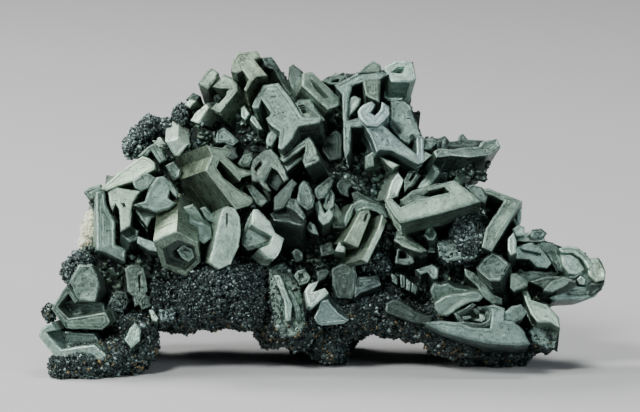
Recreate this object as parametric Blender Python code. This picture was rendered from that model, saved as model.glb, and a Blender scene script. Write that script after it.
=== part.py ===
"""A free-standing cluster of hopper-grown acanthite crystals on a druse of fine crystals.

Units are metres and +Z is up. The origin is on the floor, under the middle of the cluster.
Outlines are drawn in a front elevation that leans back by LEAN_BACK: x counts squares to the right and
y counts squares down, each square SQUARE wide. Depths are in millimetres, away from the viewer.
"""

import math

import bmesh
import bpy
import numpy as np
from mathutils import Vector, noise

MM = 0.001
SQUARE = 0.2 * MM               # one square of the elevation grid
LEAN_BACK = math.radians(8)     # slope of the line of sight that the elevation is drawn along
MID_COLUMN = 322.5              # grid column of the cluster's middle
FLOOR_ROW = 362.5               # grid row where the floor lies at depth zero
MID_DEPTH = 3.53                # depth of the cluster's middle
GAP = 0.3 * MM                  # clearance between touching solids
FLAT_ANGLE = math.radians(.5)   # faces that meet flatter than this become one
KEPT_TRIANGLES = .86            # share of the triangles left when the slivers are collapsed

# Each crystal: the outline of its end face, the depth of that face, the slope of its length to the right
# and upwards, its length, and the hollows that its hopper growth left (depth, outline).
CRYSTALS = {
    # crown and upper left
    "crown": (-11, (.10, -.45), 9,
              [(231, 72), (233, 60), (239, 53), (257, 51), (261, 58), (255, 60), (263, 70), (268, 76),
               (257, 77), (252, 82), (247, 92), (244, 90), (249, 80), (243, 71), (237, 74)], []),
    "crown_blade": (-9, (-.35, -.30), 9,
                    [(262, 58), (272, 57), (276, 62), (286, 78), (299, 98), (295, 104), (284, 88),
                     (274, 70), (266, 67)], []),
    "cap_left": (-6, (.10, -.35), 8,
                 [(198, 84), (207, 70), (212, 68), (219, 73), (216, 80), (208, 90)], []),
    "hook_left": (-8, (.35, -.45), 10,
                  [(212, 87), (224, 74), (233, 78), (238, 84), (238, 91), (220, 113), (211, 109),
                   (230, 89), (222, 89)], [(2, [(218, 104), (220, 107), (229, 97), (228, 94)])]),
    "blade_left": (-8, (.50, -.15), 9, [(190, 121), (196, 112), (206, 104), (209, 108), (199, 124)], []),
    "great_diagonal": (-15, (.15, -.50), 11,
                       [(252, 107), (254, 101), (263, 85), (279, 83), (289, 96), (303, 117), (322, 118),
                        (319, 123), (298, 127), (292, 139), (282, 150), (278, 148), (280, 132), (271, 126),
                        (266, 119), (271, 114), (262, 100), (259, 108), (255, 109)], []),
    "diagonal_wing": (-12.5, (.15, -.45), 9,
                      [(294, 103), (299, 99), (310, 99), (325, 120), (319, 122), (303, 119)],
                      [(2.5, [(298, 106), (304, 105), (318, 117), (304, 117)])]),
    "diagonal_foot": (-14, (0, -.3), 9,
                      [(266, 141), (268, 134), (273, 129), (281, 130), (277, 139), (272, 147), (268, 146)], []),
    "peak_left": (-7, (.10, -.30), 10,
                  [(289, 67), (293, 64), (303, 72), (303, 84), (298, 100), (290, 88), (288, 80)], []),
    "slotted_tablet": (-12, (-.25, -.45), 11,
                       [(303, 74), (312, 72), (340, 98), (339, 106), (328, 110), (302, 86)],
                       [(3, [(310, 80), (313, 81), (329, 98), (325, 100), (315, 90)])]),
    "far_shelf": (-4, (0, -.4), 9, [(320, 81), (328, 76), (340, 74), (346, 77), (341, 85), (330, 85)],
                  [(1.5, [(330, 83), (332, 81), (339, 79), (340, 83)])]),
    # the gate and the upper right
    "gate": (-14, (.05, -.30), 12,
             [(334, 86), (345, 80), (362, 71), (373, 69), (389, 75), (380, 80), (379, 92), (366, 92),
              (362, 83), (352, 87), (349, 98), (347, 121), (358, 118), (365, 124), (361, 128), (351, 128),
              (350, 150), (346, 158), (343, 150), (342, 95)], []),
    "gate_tongue": (-15, (0, -.45), 9, [(362, 79), (380, 78), (379, 103), (371, 99), (365, 96)], []),
    "gate_roof": (-12, (0, -.5), 9, [(357, 74), (364, 66), (373, 61), (380, 65), (382, 72), (372, 73)], []),
    "clasp": (-11, (-.15, -.62), 7,
              [(383, 70), (388, 64), (396, 60), (413, 62), (416, 79), (410, 82), (391, 82), (388, 76)],
              [(2.2, [(390, 73), (397, 67), (404, 67), (403, 74), (398, 74)])]),
    "clasp_root": (-8, (-.2, -.3), 12, [(384, 82), (398, 80), (410, 84), (402, 100), (391, 103), (384, 98)], []),
    "bright_hook": (-17, (0, -.30), 9,
                    [(357, 112), (362, 106), (371, 102), (375, 105), (370, 113), (374, 116), (380, 110),
                     (381, 102), (389, 107), (389, 115), (383, 122), (377, 127), (366, 126), (360, 120)], []),
    "right_tower": (-11, (0, -.25), 12,
                    [(390, 101), (404, 100), (411, 106), (416, 121), (421, 134), (408, 145), (400, 140),
                     (389, 127)], []),
    "great_wedge": (-16, (-.12, -.22), 12,
                    [(365, 128), (372, 126), (383, 125), (402, 143), (416, 154), (416, 139), (411, 134),
                     (423, 137), (424, 162), (418, 165), (392, 151), (380, 150), (376, 153), (371, 139)], []),
    "grey_block": (-9, (0, -.3), 9, [(322, 140), (330, 133), (336, 130), (342, 135), (342, 158), (330, 161),
                                     (322, 152)], []),
    "shelf_tab": (-8.5, (0, -.2), 8, [(423, 139), (433, 138), (437, 143), (430, 150), (422, 150)], []),
    "shelf_rim": (-7, (-.38, -.66), 8,
                  [(433, 151), (438, 148), (452, 149), (463, 147), (479, 146), (482, 141), (497, 138),
                   (501, 147), (489, 154), (468, 157), (452, 155), (436, 157)], []),
    "shelf_back": (-3, (-.15, -.55), 9,
                   [(433, 148), (437, 138), (445, 135), (450, 141), (458, 140), (459, 135), (463, 133),
                    (468, 139), (484, 140), (482, 147), (452, 149)], []),
    # centre right
    "bright_blade": (-13, (-.35, -.10), 9, [(386, 199), (391, 182), (398, 172), (404, 180), (401, 188),
                                            (398, 197), (390, 200)], []),
    "long_frame": (-20, (.02, -.30), 11,
                   [(383, 199), (391, 198), (400, 207), (415, 199), (422, 198), (448, 192), (443, 187),
                    (427, 191), (425, 188), (453, 180), (460, 185), (472, 194), (480, 201), (465, 206),
                    (440, 213), (399, 223), (391, 213)], []),
    "frame_filler": (-17.5, (0, -.2), 9, [(399, 200), (412, 190), (436, 183), (450, 183), (452, 193),
                                          (425, 201), (404, 207)],
                     [(2, [(421, 196), (430, 190), (444, 188), (446, 192), (430, 197)])]),
    "angle_frame": (-17, (.02, -.25), 10,
                    [(481, 189), (487, 188), (521, 201), (516, 208), (500, 235), (490, 251), (480, 247),
                     (484, 228), (502, 201), (490, 195), (484, 194)], []),
    "angle_cheek": (-13, (-.1, -.2), 8, [(510, 216), (516, 207), (521, 202), (520, 222), (515, 229)],
                    [(1.2, [(512, 217), (516, 210), (516, 222)])]),
    "frame_tab": (-15, (0, -.3), 9, [(465, 187), (471, 184), (481, 187), (487, 195), (484, 204), (472, 196)], []),
    "back_blade": (-11, (.2, -.2), 9, [(415, 188), (423, 178), (432, 164), (438, 168), (439, 173),
                                       (432, 183), (424, 191)], []),
    "frosted_wedge": (-13, (0, -.25), 11,
                      [(436, 242), (452, 236), (462, 207), (472, 202), (486, 208), (484, 228), (480, 250),
                       (474, 259), (455, 260), (446, 262), (438, 256)], []),
    "post_head": (-14, (.1, -.55), 6, [(424, 229), (428, 226), (433, 227), (436, 233), (433, 239), (427, 239),
                                       (423, 234)], []),
    "ledge_blade": (-14, (0, -.5), 9, [(395, 231), (401, 229), (427, 250), (420, 252), (402, 246), (393, 240)], []),
    "basket": (-13, (0, -.3), 9, [(394, 263), (396, 248), (404, 247), (413, 257), (414, 262), (408, 265)],
               [(2.5, [(397, 258), (399, 250), (404, 250), (409, 258)])]),
    "ledge_grey": (-14, (0, -.35), 9, [(414, 269), (431, 263), (438, 267), (437, 278), (432, 279), (427, 272),
                                       (420, 274)], []),
    # centre
    "book_left": (-18, (-.25, -.10), 10, [(343, 241), (349, 231), (360, 211), (369, 210), (371, 215), (358, 247)],
                  [(1.5, [(363, 221), (366, 213), (369, 213), (366, 221)])]),
    "book_right": (-18, (-.45, -.15), 10, [(361, 259), (366, 252), (378, 228), (382, 214), (387, 220),
                                           (381, 236), (373, 252), (368, 262)], []),
    "book_roof": (-16, (0, .15), 10, [(352, 205), (360, 199), (378, 205), (385, 209), (388, 217), (384, 219),
                                      (376, 212), (366, 210), (356, 214)], []),
    "roof_slab": (-13, (.1, -.2), 9, [(350, 193), (357, 190), (370, 198), (380, 202), (379, 209), (363, 207),
                                      (353, 200)], []),
    "book_end": (-15, (-.3, -.1), 9, [(344, 222), (346, 213), (352, 203), (356, 206), (350, 220), (346, 227)], []),
    "cleft_left": (-14, (0, -.3), 9, [(314, 188), (321, 182), (330, 176), (334, 180), (331, 187), (325, 197),
                                      (318, 201), (314, 196)], []),
    "cup": (-16, (0, -.3), 9, [(314, 203), (320, 200), (325, 213), (329, 206), (334, 214), (329, 222),
                               (323, 225), (318, 219)], []),
    "cup_back": (-13, (0, -.2), 8, [(324, 197), (330, 186), (335, 196), (334, 206), (327, 213), (322, 206)], []),
    "grey_dome": (-13, (0, -.2), 8, [(330, 204), (335, 202), (343, 213), (343, 228), (333, 227), (330, 216)], []),
    # centre left
    "gable": (-16, (.10, -.35), 11,
              [(250, 172), (253, 160), (264, 150), (272, 148), (278, 155), (286, 169), (289, 179),
               (284, 182), (278, 172), (272, 168), (266, 181), (272, 191), (268, 191), (259, 182), (252, 181)],
              [(1.2, [(254, 168), (260, 160), (263, 162), (258, 176)])]),
    "gable_panel": (-14, (0, -.2), 8, [(264, 183), (272, 166), (287, 177), (278, 192)], []),
    "grey_lobe": (-12, (0, -.2), 8, [(238, 163), (243, 155), (253, 152), (255, 158), (250, 168), (242, 168)], []),
    "a_frame": (-17, (.25, -.40), 10,
                [(279, 158), (309, 136), (314, 143), (320, 161), (305, 168), (302, 160), (305, 147), (283, 163)], []),
    "a_frame_bar": (-15, (0, -.3), 9, [(283, 165), (297, 155), (304, 151), (304, 158), (298, 163), (287, 172)], []),
    "roof_left": (-17, (.10, -.30), 10, [(274, 197), (292, 178), (298, 183), (292, 192), (290, 200), (285, 207),
                                         (274, 211)], []),
    "roof_right": (-18, (0, -.30), 10, [(297, 198), (299, 186), (303, 180), (309, 182), (315, 197), (313, 207),
                                        (307, 210), (298, 203)], []),
    "front_lap": (-18.5, (0, -.4), 8, [(286, 206), (290, 198), (298, 198), (306, 216), (304, 220), (296, 212)], []),
    "lined_dome": (-17, (0, -.62), 8, [(270, 213), (286, 205), (297, 211), (307, 219), (303, 226), (289, 222),
                                       (274, 220)], []),
    "great_block": (-18, (-.48, -.15), 12,
                    [(207, 171), (213, 156), (208, 145), (213, 147), (228, 148), (234, 153), (229, 158),
                     (240, 168), (252, 171), (253, 175), (243, 178), (241, 182), (231, 171), (221, 161),
                     (218, 168), (225, 178), (238, 188), (254, 198), (254, 203), (250, 206), (237, 210)], []),
    "block_top": (-12, (0, -.3), 8, [(222, 149), (228, 144), (236, 148), (239, 157), (232, 161), (226, 156)], []),
    "block_rung": (-14, (0, -.2), 8, [(246, 186), (252, 183), (270, 201), (262, 207), (256, 204)], []),
    "upper_grey": (-12, (0, .35), 8, [(166, 142), (179, 139), (190, 145), (180, 157), (175, 157)], []),
    # far left
    "ridge_left": (-8, (0, -.3), 9, [(138, 157), (148, 147), (155, 143), (163, 150), (168, 160), (160, 164),
                                     (152, 151), (148, 157)], []),
    "white_slab": (-10, (.15, -.25), 9,
                   [(101, 189), (120, 172), (143, 156), (150, 158), (156, 163), (156, 170), (146, 175),
                    (132, 183), (118, 187), (108, 191)], []),
    "slab_step": (-12, (0, -.2), 9, [(133, 181), (146, 172), (158, 178), (150, 188), (143, 192), (136, 188)], []),
    "table": (-14, (.10, -.30), 10,
              [(109, 192), (118, 187), (142, 191), (134, 204), (132, 226), (122, 232), (121, 220), (120, 209),
               (117, 204), (114, 211), (111, 204)], [(1.5, [(122, 203), (126, 203), (131, 212), (129, 215)])]),
    "grey_cube": (-13, (-.1, -.45), 7, [(122, 233), (131, 224), (141, 230), (139, 239), (131, 242)], []),
    "tall_left": (-11, (-.15, -.20), 10,
                  [(97, 192), (106, 190), (108, 205), (117, 221), (117, 244), (128, 249), (127, 262),
                   (104, 251), (98, 250)], []),
    "left_lip": (-7, (.1, -.2), 9, [(84, 192), (90, 187), (102, 184), (102, 192), (97, 194), (96, 199), (89, 198)], []),
    "tent": (-16, (0, -.30), 10,
             [(146, 201), (150, 188), (158, 177), (164, 176), (172, 181), (180, 193), (178, 198), (171, 191),
              (170, 198), (178, 203), (170, 209), (158, 212), (134, 205)], []),
    "scallop": (-14, (0, -.3), 9, [(134, 206), (141, 205), (152, 211), (161, 214), (153, 218), (149, 227),
                                   (142, 219)], []),
    "hexagon": (-20, (.03, .60), 10,
                [(155, 241), (178, 231), (199, 242), (202, 262), (187, 277), (163, 267)],
                [(1.2, [(164, 249), (179, 240), (196, 246), (198, 260), (187, 271), (168, 264)]),
                 (3, [(171, 256), (178, 250), (185, 260), (192, 264), (186, 269), (173, 263)])]),
    "hexagon_lobes": (-18, (0, .2), 9, [(190, 217), (199, 222), (204, 222), (212, 229), (213, 238), (205, 244),
                                        (198, 240), (191, 232)], []),
    "hexagon_shoulder": (-16, (0, .1), 9, [(184, 207), (194, 205), (199, 210), (204, 220), (198, 224),
                                           (189, 217)], []),
    "white_tab": (-15, (.1, -.2), 8, [(139, 235), (157, 242), (160, 252), (150, 250), (138, 243)], []),
    "tall_prism": (-20, (-.22, -.05), 12,
                   [(221, 216), (223, 209), (228, 206), (236, 208), (241, 217), (242, 230), (240, 246),
                    (232, 264), (220, 269), (210, 262), (216, 238)],
                   [(1.5, [(227, 213), (229, 213), (229, 224), (227, 227)])]),
    "prism_right": (-17, (0, -.25), 11, [(243, 232), (248, 217), (255, 208), (262, 222), (272, 241), (262, 247),
                                         (248, 250), (242, 244)], []),
    "prism_band": (-19, (-.25, -.25), 11,
                   [(254, 209), (259, 209), (271, 221), (276, 232), (285, 238), (281, 251), (276, 258),
                    (269, 257), (260, 248), (271, 243), (273, 236), (252, 224)], []),
    # lower left foot
    "big_hexagon": (-17, (.15, -.10), 11, [(70, 281), (80, 264), (94, 263), (99, 274), (102, 288), (97, 301),
                                           (79, 302)], []),
    "open_box": (-18, (.25, .10), 10,
                 [(53, 308), (69, 284), (80, 300), (77, 303), (70, 293), (60, 306), (71, 317), (108, 311),
                  (112, 322), (104, 329), (68, 328)], []),
    "box_floor": (-14, (.2, 0), 9, [(64, 300), (76, 298), (104, 302), (108, 314), (72, 318)], []),
    "lower_box": (-20, (.25, .10), 10,
                  [(41, 335), (44, 327), (54, 321), (60, 329), (49, 331), (64, 348), (96, 343), (108, 353),
                   (112, 364), (78, 363), (71, 357), (60, 358), (50, 347)], []),
    "lower_floor": (-16, (.2, 0), 9, [(54, 326), (66, 330), (96, 332), (104, 346), (66, 350)], []),
    "post_left": (-14, (0, -.2), 10, [(126, 268), (131, 264), (141, 263), (146, 268), (149, 290), (140, 304),
                                      (136, 306), (134, 296), (128, 290)], [(1.2, [(139, 274), (142, 274),
                                                                                  (142, 290), (140, 291)])]),
    "dark_block": (-13, (0, -.2), 9, [(107, 306), (112, 297), (118, 289), (128, 292), (131, 301), (124, 311),
                                      (109, 310)], []),
    "leaf": (-20, (0, -.3), 9, [(126, 338), (131, 327), (137, 321), (143, 326), (142, 339), (133, 347)], []),
    # middle foot
    "coated_column": (-15, (0, -.1), 11,
                      [(269, 268), (283, 262), (292, 272), (301, 290), (306, 322), (300, 335), (283, 336),
                       (275, 322), (270, 295)], []),
    "coated_blade": (-17, (.1, -.1), 9, [(273, 274), (281, 274), (285, 287), (292, 303), (291, 319),
                                         (286, 321), (284, 300), (278, 285)], []),
    "heart": (-18, (-.1, -.2), 9, [(305, 289), (309, 283), (319, 280), (316, 286), (313, 291), (325, 287),
                                   (329, 292), (321, 299), (312, 307), (308, 305)], []),
    "fan_shell": (-17, (0, .2), 9, [(314, 317), (318, 309), (321, 300), (328, 299), (332, 305), (338, 312),
                                    (349, 319), (344, 323), (322, 325), (317, 323)], []),
    "dark_prism": (-14, (0, -.2), 10, [(331, 268), (340, 263), (354, 262), (357, 275), (356, 290), (352, 298),
                                       (336, 297), (332, 285)], []),
    "blue_roof": (-14, (0, -.45), 9, [(355, 276), (378, 274), (381, 284), (360, 292), (354, 297)], []),
    # right arm and lower right
    "curled_slab": (-20, (0, .1), 10,
                    [(433, 302), (441, 296), (450, 293), (463, 292), (470, 290), (478, 291), (482, 296),
                     (478, 301), (468, 302), (460, 306), (452, 312), (446, 316), (439, 315), (434, 309)], []),
    "slab_back": (-17, (0, .1), 9, [(429, 290), (433, 282), (440, 284), (447, 282), (455, 287), (469, 289),
                                    (463, 294), (445, 297), (434, 304)], []),
    "long_blade": (-16, (0, -.25), 9, [(463, 267), (472, 271), (481, 279), (492, 293), (501, 297), (501, 304),
                                       (490, 303), (480, 295), (476, 286), (464, 275)], []),
    "big_cube": (-18, (.15, -.55), 8, [(474, 267), (481, 258), (491, 250), (499, 254), (509, 263), (498, 280),
                                       (488, 280), (482, 275)], []),
    "cube_right": (-17.5, (0, -.2), 9, [(508, 273), (514, 272), (526, 280), (526, 285), (512, 291), (508, 287)], []),
    "base_slab": (-21, (0, -.15), 12,
                  [(422, 321), (440, 319), (458, 321), (470, 326), (488, 327), (490, 311), (484, 305),
                   (492, 303), (503, 307), (502, 319), (512, 320), (521, 328), (528, 342), (515, 344),
                   (485, 342), (460, 336), (440, 330)], []),
    "maze": (-20, (0, -.15), 9, [(452, 312), (462, 307), (475, 305), (485, 305), (491, 312), (489, 326),
                                 (480, 328), (460, 325)],
             [(2, [(458, 314), (471, 308), (484, 309), (487, 317), (480, 323), (464, 322)])]),
    "slab_knob": (-20, (0, -.1), 9, [(501, 312), (509, 305), (519, 303), (525, 311), (520, 318), (512, 322),
                                     (502, 320)], []),
    "heel": (-17, (0, -.40), 10, [(520, 290), (526, 289), (530, 299), (545, 303), (557, 316), (558, 327),
                                  (548, 321), (535, 321), (528, 312)], []),
    "heel_base": (-15, (-.1, -.1), 10, [(534, 319), (549, 319), (556, 332), (553, 347), (541, 345), (531, 341),
                                        (527, 330)], []),
    "skull": (-13, (-.15, -.1), 12,
              [(558, 250), (572, 247), (580, 250), (588, 258), (597, 257), (601, 263), (604, 272), (603, 284),
               (594, 296), (585, 299), (555, 301), (547, 297), (560, 288), (566, 274), (559, 262)],
              [(2.5, [(574, 277), (579, 274), (584, 279), (584, 287), (575, 287)]),
               (1.0, [(567, 251), (575, 253), (585, 265), (582, 267), (573, 257)])]),
    "jaw": (-15, (-.1, -.1), 10, [(528, 281), (545, 276), (565, 275), (574, 281), (562, 288), (552, 292),
                                  (545, 291), (539, 286)], []),
    "neck": (-13, (-.2, -.1), 10, [(508, 273), (530, 270), (562, 272), (550, 279), (527, 283)], []),
    "layers": (-14, (-.2, -.2), 10,
               [(514, 246), (530, 242), (538, 245), (545, 254), (551, 263), (546, 268), (535, 266), (528, 259),
                (513, 258)], [(1.5, [(518, 248), (540, 253), (540, 257), (519, 252)])]),
    "layers_top": (-12.5, (-.1, -.2), 10, [(514, 241), (523, 233), (529, 231), (536, 235), (543, 236), (544, 241),
                                         (530, 242)], []),
    "layers_right": (-12, (-.2, -.2), 10, [(535, 244), (541, 240), (552, 242), (558, 247), (562, 262),
                                           (565, 273), (556, 273), (550, 262), (545, 254)], []),
    "white_post": (-18, (0, -.3), 9, [(506, 238), (512, 231), (515, 240), (515, 252), (509, 255), (506, 249)], []),
    "white_knob": (-15.5, (0, -.2), 8, [(510, 229), (517, 224), (523, 227), (523, 235), (515, 236)], []),
    "lower_sheets": (-16, (0, -.2), 9, [(385, 303), (392, 298), (404, 301), (418, 311), (432, 316), (428, 323),
                                        (412, 321), (396, 315), (385, 311)], []),
}

ROOT = 3                        # how much longer each front crystal runs on, inside the cluster

# Blocky crystals inside the cluster, that the others grow from:
# column, row, depth, (width, height, thickness), turn in degrees.
CORE_BLOCKS = [
    (150, 235, 4, (20, 18, 20), 12), (116, 287, 1, (13, 14, 18), -8), (98, 327, -3, (13, 10, 16), 10),
    (180, 180, 3, (14, 13, 18), 40), (222, 195, 3, (20, 22, 20), -22), (228, 128, 4, (13, 12, 13), 35),
    (268, 124, 3, (13, 15, 14), 24), (322, 122, 4, (18, 12, 13), -12), (300, 165, 4, (20, 16, 18), 10),
    (374, 110, 3, (13, 14, 11), 8), (366, 152, 5, (20, 18, 15), -6), (452, 162, 0, (13, 6, 10), -6),
    (325, 215, 3, (26, 20, 22), 15), (402, 218, 3, (25, 17, 20), -10), (460, 228, 1, (18, 15, 16), -16),
    (270, 255, 4, (24, 18, 20), 4), (362, 265, 2, (26, 16, 21), 8), (442, 272, 1, (24, 15, 18), -4),
    (502, 266, -2, (17, 11, 14), 10), (552, 270, -5, (13, 6, 10), 3), (210, 262, 2, (22, 14, 20), -6),
    (518, 296, -5, (8, 6, 8), 5), (526, 324, -6, (6, 7, 8), -5), (538, 293, -6, (4.8, 5, 8), 0),
]

# The hopper shapes that the crystals of the back and the top share, one unit across.
HOPPER_SHAPES = {
    "block": [(-.5, -.32), (-.34, -.5), (.5, -.42), (.46, .38), (.32, .5), (-.5, .44)],
    "c_frame": [(-.5, -.5), (.5, -.5), (.5, -.22), (-.18, -.2), (-.16, .2), (.5, .24), (.45, .5), (-.5, .5)],
    "l_frame": [(-.5, -.5), (.5, -.5), (.5, -.15), (-.1, -.15), (-.1, .5), (-.42, .5)],
    "hexagon": [(-.5, 0), (-.26, -.46), (.26, -.44), (.5, 0), (.24, .46), (-.27, .43)],
    "slab": [(-.5, -.2), (-.38, -.32), (.5, -.28), (.48, .2), (.36, .32), (-.46, .3)],
}
HOLLOW_SHARE = .52              # size of a shared shape's hollow against its outline
HOLLOWED = ("block", "hexagon", "slab")

# Crystals of the back, whose faces turn away from the cluster's middle: column, row, depth, width.
BACK_CRYSTALS = [
    (218, 114, 10, 9), (254, 98, 10, 10), (302, 108, 12, 11), (344, 112, 13, 10), (386, 100, 11, 11),
    (166, 152, 9, 9), (204, 144, 14, 11), (252, 144, 17, 12), (304, 150, 17, 12), (352, 150, 17, 12),
    (388, 136, 12, 9), (456, 170, 3, 7), (120, 205, 11, 10), (158, 194, 16, 12), (210, 190, 19, 13),
    (264, 194, 21, 13), (318, 196, 21, 13), (372, 194, 19, 12), (424, 208, 17, 12), (472, 214, 12, 11),
    (114, 248, 15, 11), (166, 244, 19, 13), (222, 244, 22, 13), (282, 244, 23, 13), (342, 244, 22, 13),
    (400, 250, 20, 13), (456, 256, 16, 12), (506, 252, 10, 9), (560, 266, 2, 8), (104, 290, 14, 10),
    (156, 290, 18, 11), (216, 286, 20, 12), (290, 288, 20, 11), (362, 290, 20, 12), (428, 292, 17, 12),
    (486, 290, 13, 10),
]
BACK_LENGTH = 11                # length of a back crystal
BACK_SPREAD = (250, 130)        # columns and rows over which the back's faces turn by 45 degrees
BACK_MIDDLE = (322, 215)        # column and row where they face straight back

# Rounded lumps of druse and calcite: column, row, depth, (half width, half height, half thickness).
DRUSE = [
    # left foot, front and back
    (68, 366, -17, (3.6, 3.2, 6)), (88, 361, -15, (6, 4.4, 8)), (112, 356, -13, (6.4, 4.8, 9)),
    (136, 340, -11, (4.6, 6.4, 8)), (132, 362, -13, (2.6, 3.2, 5)), (92, 334, 9, (6, 7, 7)),
    (71, 271, -9, (1.6, 2.4, 4)), (83, 259, -8, (2.4, 1.8, 4)), (51, 312, -12, (1.2, 1.8, 4)),
    (120, 332, 11, (6.4, 7.4, 8)), (106, 312, 6, (7, 6, 9)),
    # hanging band from the left foot to the middle foot
    (162, 304, -7, (5, 5, 8)), (186, 308, -8, (6, 5, 8)), (214, 298, -9, (8, 6, 8)),
    (246, 304, -9, (6, 5.2, 8)), (222, 280, -11, (10, 6, 8)), (205, 292, 7, (14, 7, 10)),
    # middle foot, front and back
    (272, 306, -6, (4.2, 9, 8)), (294, 322, -7, (6.6, 5, 8)), (328, 334, -3, (4.6, 7, 7)),
    (334, 352, -1, (3, 3.6, 4)), (310, 328, 12, (6, 7.4, 7)), (332, 322, 15, (6, 8.4, 7)),
    (264, 296, 9, (9, 6.4, 9)),
    # band from the middle foot to the right foot
    (356, 308, -6, (8, 6, 8)), (392, 308, -6, (9, 6, 8)), (422, 320, -7, (8, 4.4, 7)),
    # right foot, front and back
    (452, 334, -7, (7, 4.4, 7)), (474, 342, -2, (6, 5.2, 7)), (503, 345, -3, (7, 5, 7)),
    (456, 328, 13, (6.4, 8, 7)), (482, 330, 10, (6.4, 7, 8)), (404, 299, 8, (11, 6, 9)),
    (446, 304, 8, (9, 5.4, 9)),
    # crust between the crystals of the right and the middle
    (470, 236, -10, (4.6, 6.4, 6)), (376, 262, -8, (3.6, 2.8, 5)),
    # outcrop at the upper left
    (130, 147, -1, (1.2, 2.2, 4)), (138, 139, -1, (2.0, 2.4, 4)), (142, 149, -1, (2.6, 2.0, 4)),
    (150, 128, -1, (2.4, 2.4, 5)), (166, 127, 0, (3.2, 1.7, 5)), (182, 117, 0, (1.9, 2.6, 5)),
]
CALCITE = [(93, 220, -3, (1.6, 2, 3)), (91, 231, -3, (1.9, 2.2, 3)), (87, 243, -2, (1.7, 2, 3))]
LUMP_ROUGHNESS = .2             # how far a lump's surface wanders, against its radius


def grid_point(column, row, depth):
    """A point of the leaning elevation, in world metres."""
    right = (column - MID_COLUMN) * SQUARE
    up = (FLOOR_ROW - row) * SQUARE
    away = depth * MM
    return Vector((right,
                   up * math.sin(LEAN_BACK) + away * math.cos(LEAN_BACK) - MID_DEPTH * MM,
                   up * math.cos(LEAN_BACK) - away * math.sin(LEAN_BACK)))


def view_vector(right, up, away):
    """A direction of the leaning elevation, in world axes."""
    return Vector((right, up * math.sin(LEAN_BACK) + away * math.cos(LEAN_BACK),
                   up * math.cos(LEAN_BACK) - away * math.sin(LEAN_BACK)))


def prism(bm, loop, along, shrink=.94):
    """Adds a closed prism from a flat loop of points, whose far end is a little smaller."""
    middle = sum(loop, Vector()) / len(loop)
    near = [bm.verts.new(point) for point in loop]
    far = [bm.verts.new(middle + (point - middle) * shrink + along) for point in loop]
    faces = [bm.faces.new(near), bm.faces.new(far[::-1])]
    count = len(loop)
    faces += [bm.faces.new((near[(i + 1) % count], near[i], far[i], far[(i + 1) % count])) for i in range(count)]
    bmesh.ops.recalc_face_normals(bm, faces=faces)


def face_loop(outline, depth, lean):
    """An outline of the elevation laid on the plane across a crystal's own axis."""
    away = math.sqrt(1 - lean[0] ** 2 - lean[1] ** 2)
    columns, rows = zip(*outline)
    mid_column, mid_row = sum(columns) / len(columns), sum(rows) / len(rows)
    squares = SQUARE / MM
    loop = []
    for column, row in outline:
        rise = lean[0] * (column - mid_column) - lean[1] * (row - mid_row)
        loop.append(grid_point(column, row, depth - rise * squares / away))
    return loop, view_vector(lean[0], lean[1], away)


def front_crystals(body, pockets):
    """The crystals of the front, with the pockets that their hollows leave."""
    for index, (depth, lean, length, outline, hollows) in enumerate(CRYSTALS.values()):
        depth += .03 * (index % 9)      # no two faces lie in one plane
        loop, axis = face_loop(outline, depth, lean)
        prism(body, loop, axis * (length + ROOT) * MM)
        middle = sum(loop, Vector()) / len(loop)
        for deep, hollow in hollows:
            rim, _ = face_loop(hollow, depth, lean)
            # the hollow's rim lies in the crystal's own face
            rim = [point - axis * (point - middle).dot(axis) - axis * MM for point in rim]
            prism(pockets, rim, axis * (deep + 1) * MM, .8)


def back_crystals(body, pockets):
    """Hopper crystals that cover the back and the top, each turned by its own seeded amount."""
    chance = np.random.default_rng(7)
    kinds = list(HOPPER_SHAPES)
    for index, (column, row, depth, width) in enumerate(BACK_CRYSTALS):
        kind = kinds[index % len(kinds)]
        out = view_vector((column - BACK_MIDDLE[0]) / BACK_SPREAD[0], (BACK_MIDDLE[1] - row) / BACK_SPREAD[1], 1)
        out = (out + Vector(chance.uniform(-.22, .22, 3))).normalized()
        side = out.orthogonal().normalized()
        turn = chance.uniform(0, math.tau)
        across = side * math.cos(turn) + out.cross(side) * math.sin(turn)
        upward = out.cross(across)
        size = width * chance.uniform(.95, 1.2) * MM
        middle = grid_point(column, row, depth)
        loop = [middle + (across * x + upward * y) * size for x, y in HOPPER_SHAPES[kind]]
        prism(body, loop, -out * BACK_LENGTH * MM)
        if kind in HOLLOWED:
            rim = [middle + (point - middle) * HOLLOW_SHARE + out * MM for point in loop]
            prism(pockets, rim, -out * (1 + .16 * width) * MM, .8)


def core_blocks(body):
    """Large blocks in the middle of the cluster."""
    for column, row, depth, (width, height, thickness), turn in CORE_BLOCKS:
        angle = math.radians(turn)
        corners = []
        for x, y in ((-.5, -.5), (.5, -.5), (.5, .5), (-.5, .5)):
            right = x * width * math.cos(angle) - y * height * math.sin(angle)
            up = x * width * math.sin(angle) + y * height * math.cos(angle)
            corners.append(grid_point(column + right * MM / SQUARE, row - up * MM / SQUARE,
                                      depth - thickness / 2))
        prism(body, corners, view_vector(0, 0, thickness * MM), .9)


def lumps(bm, places, grow=0, look=0):
    """Rough rounded lumps, each grown outwards by the same distance."""
    for column, row, depth, (wide, high, thick) in places:
        middle = grid_point(column, row, depth)
        made = bmesh.ops.create_icosphere(bm, subdivisions=1, radius=1)["verts"]
        for vert in made:
            way = vert.co.normalized()
            rough = 1 + LUMP_ROUGHNESS * noise.noise(way * 1.7 + middle / MM)
            radii = [half * MM * rough + grow for half in (wide, thick, high)]
            vert.co = middle + Vector(way[i] * radii[i] for i in range(3))
        for face in {face for vert in made for face in vert.link_faces}:
            face.material_index = look


def material(name, colour, roughness, metallic):
    made = bpy.data.materials.new(name)
    made.use_nodes = True
    shader = made.node_tree.nodes["Principled BSDF"]
    shader.inputs["Base Color"].default_value = (*colour, 1)
    shader.inputs["Roughness"].default_value = roughness
    shader.inputs["Metallic"].default_value = metallic
    return made


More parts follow.
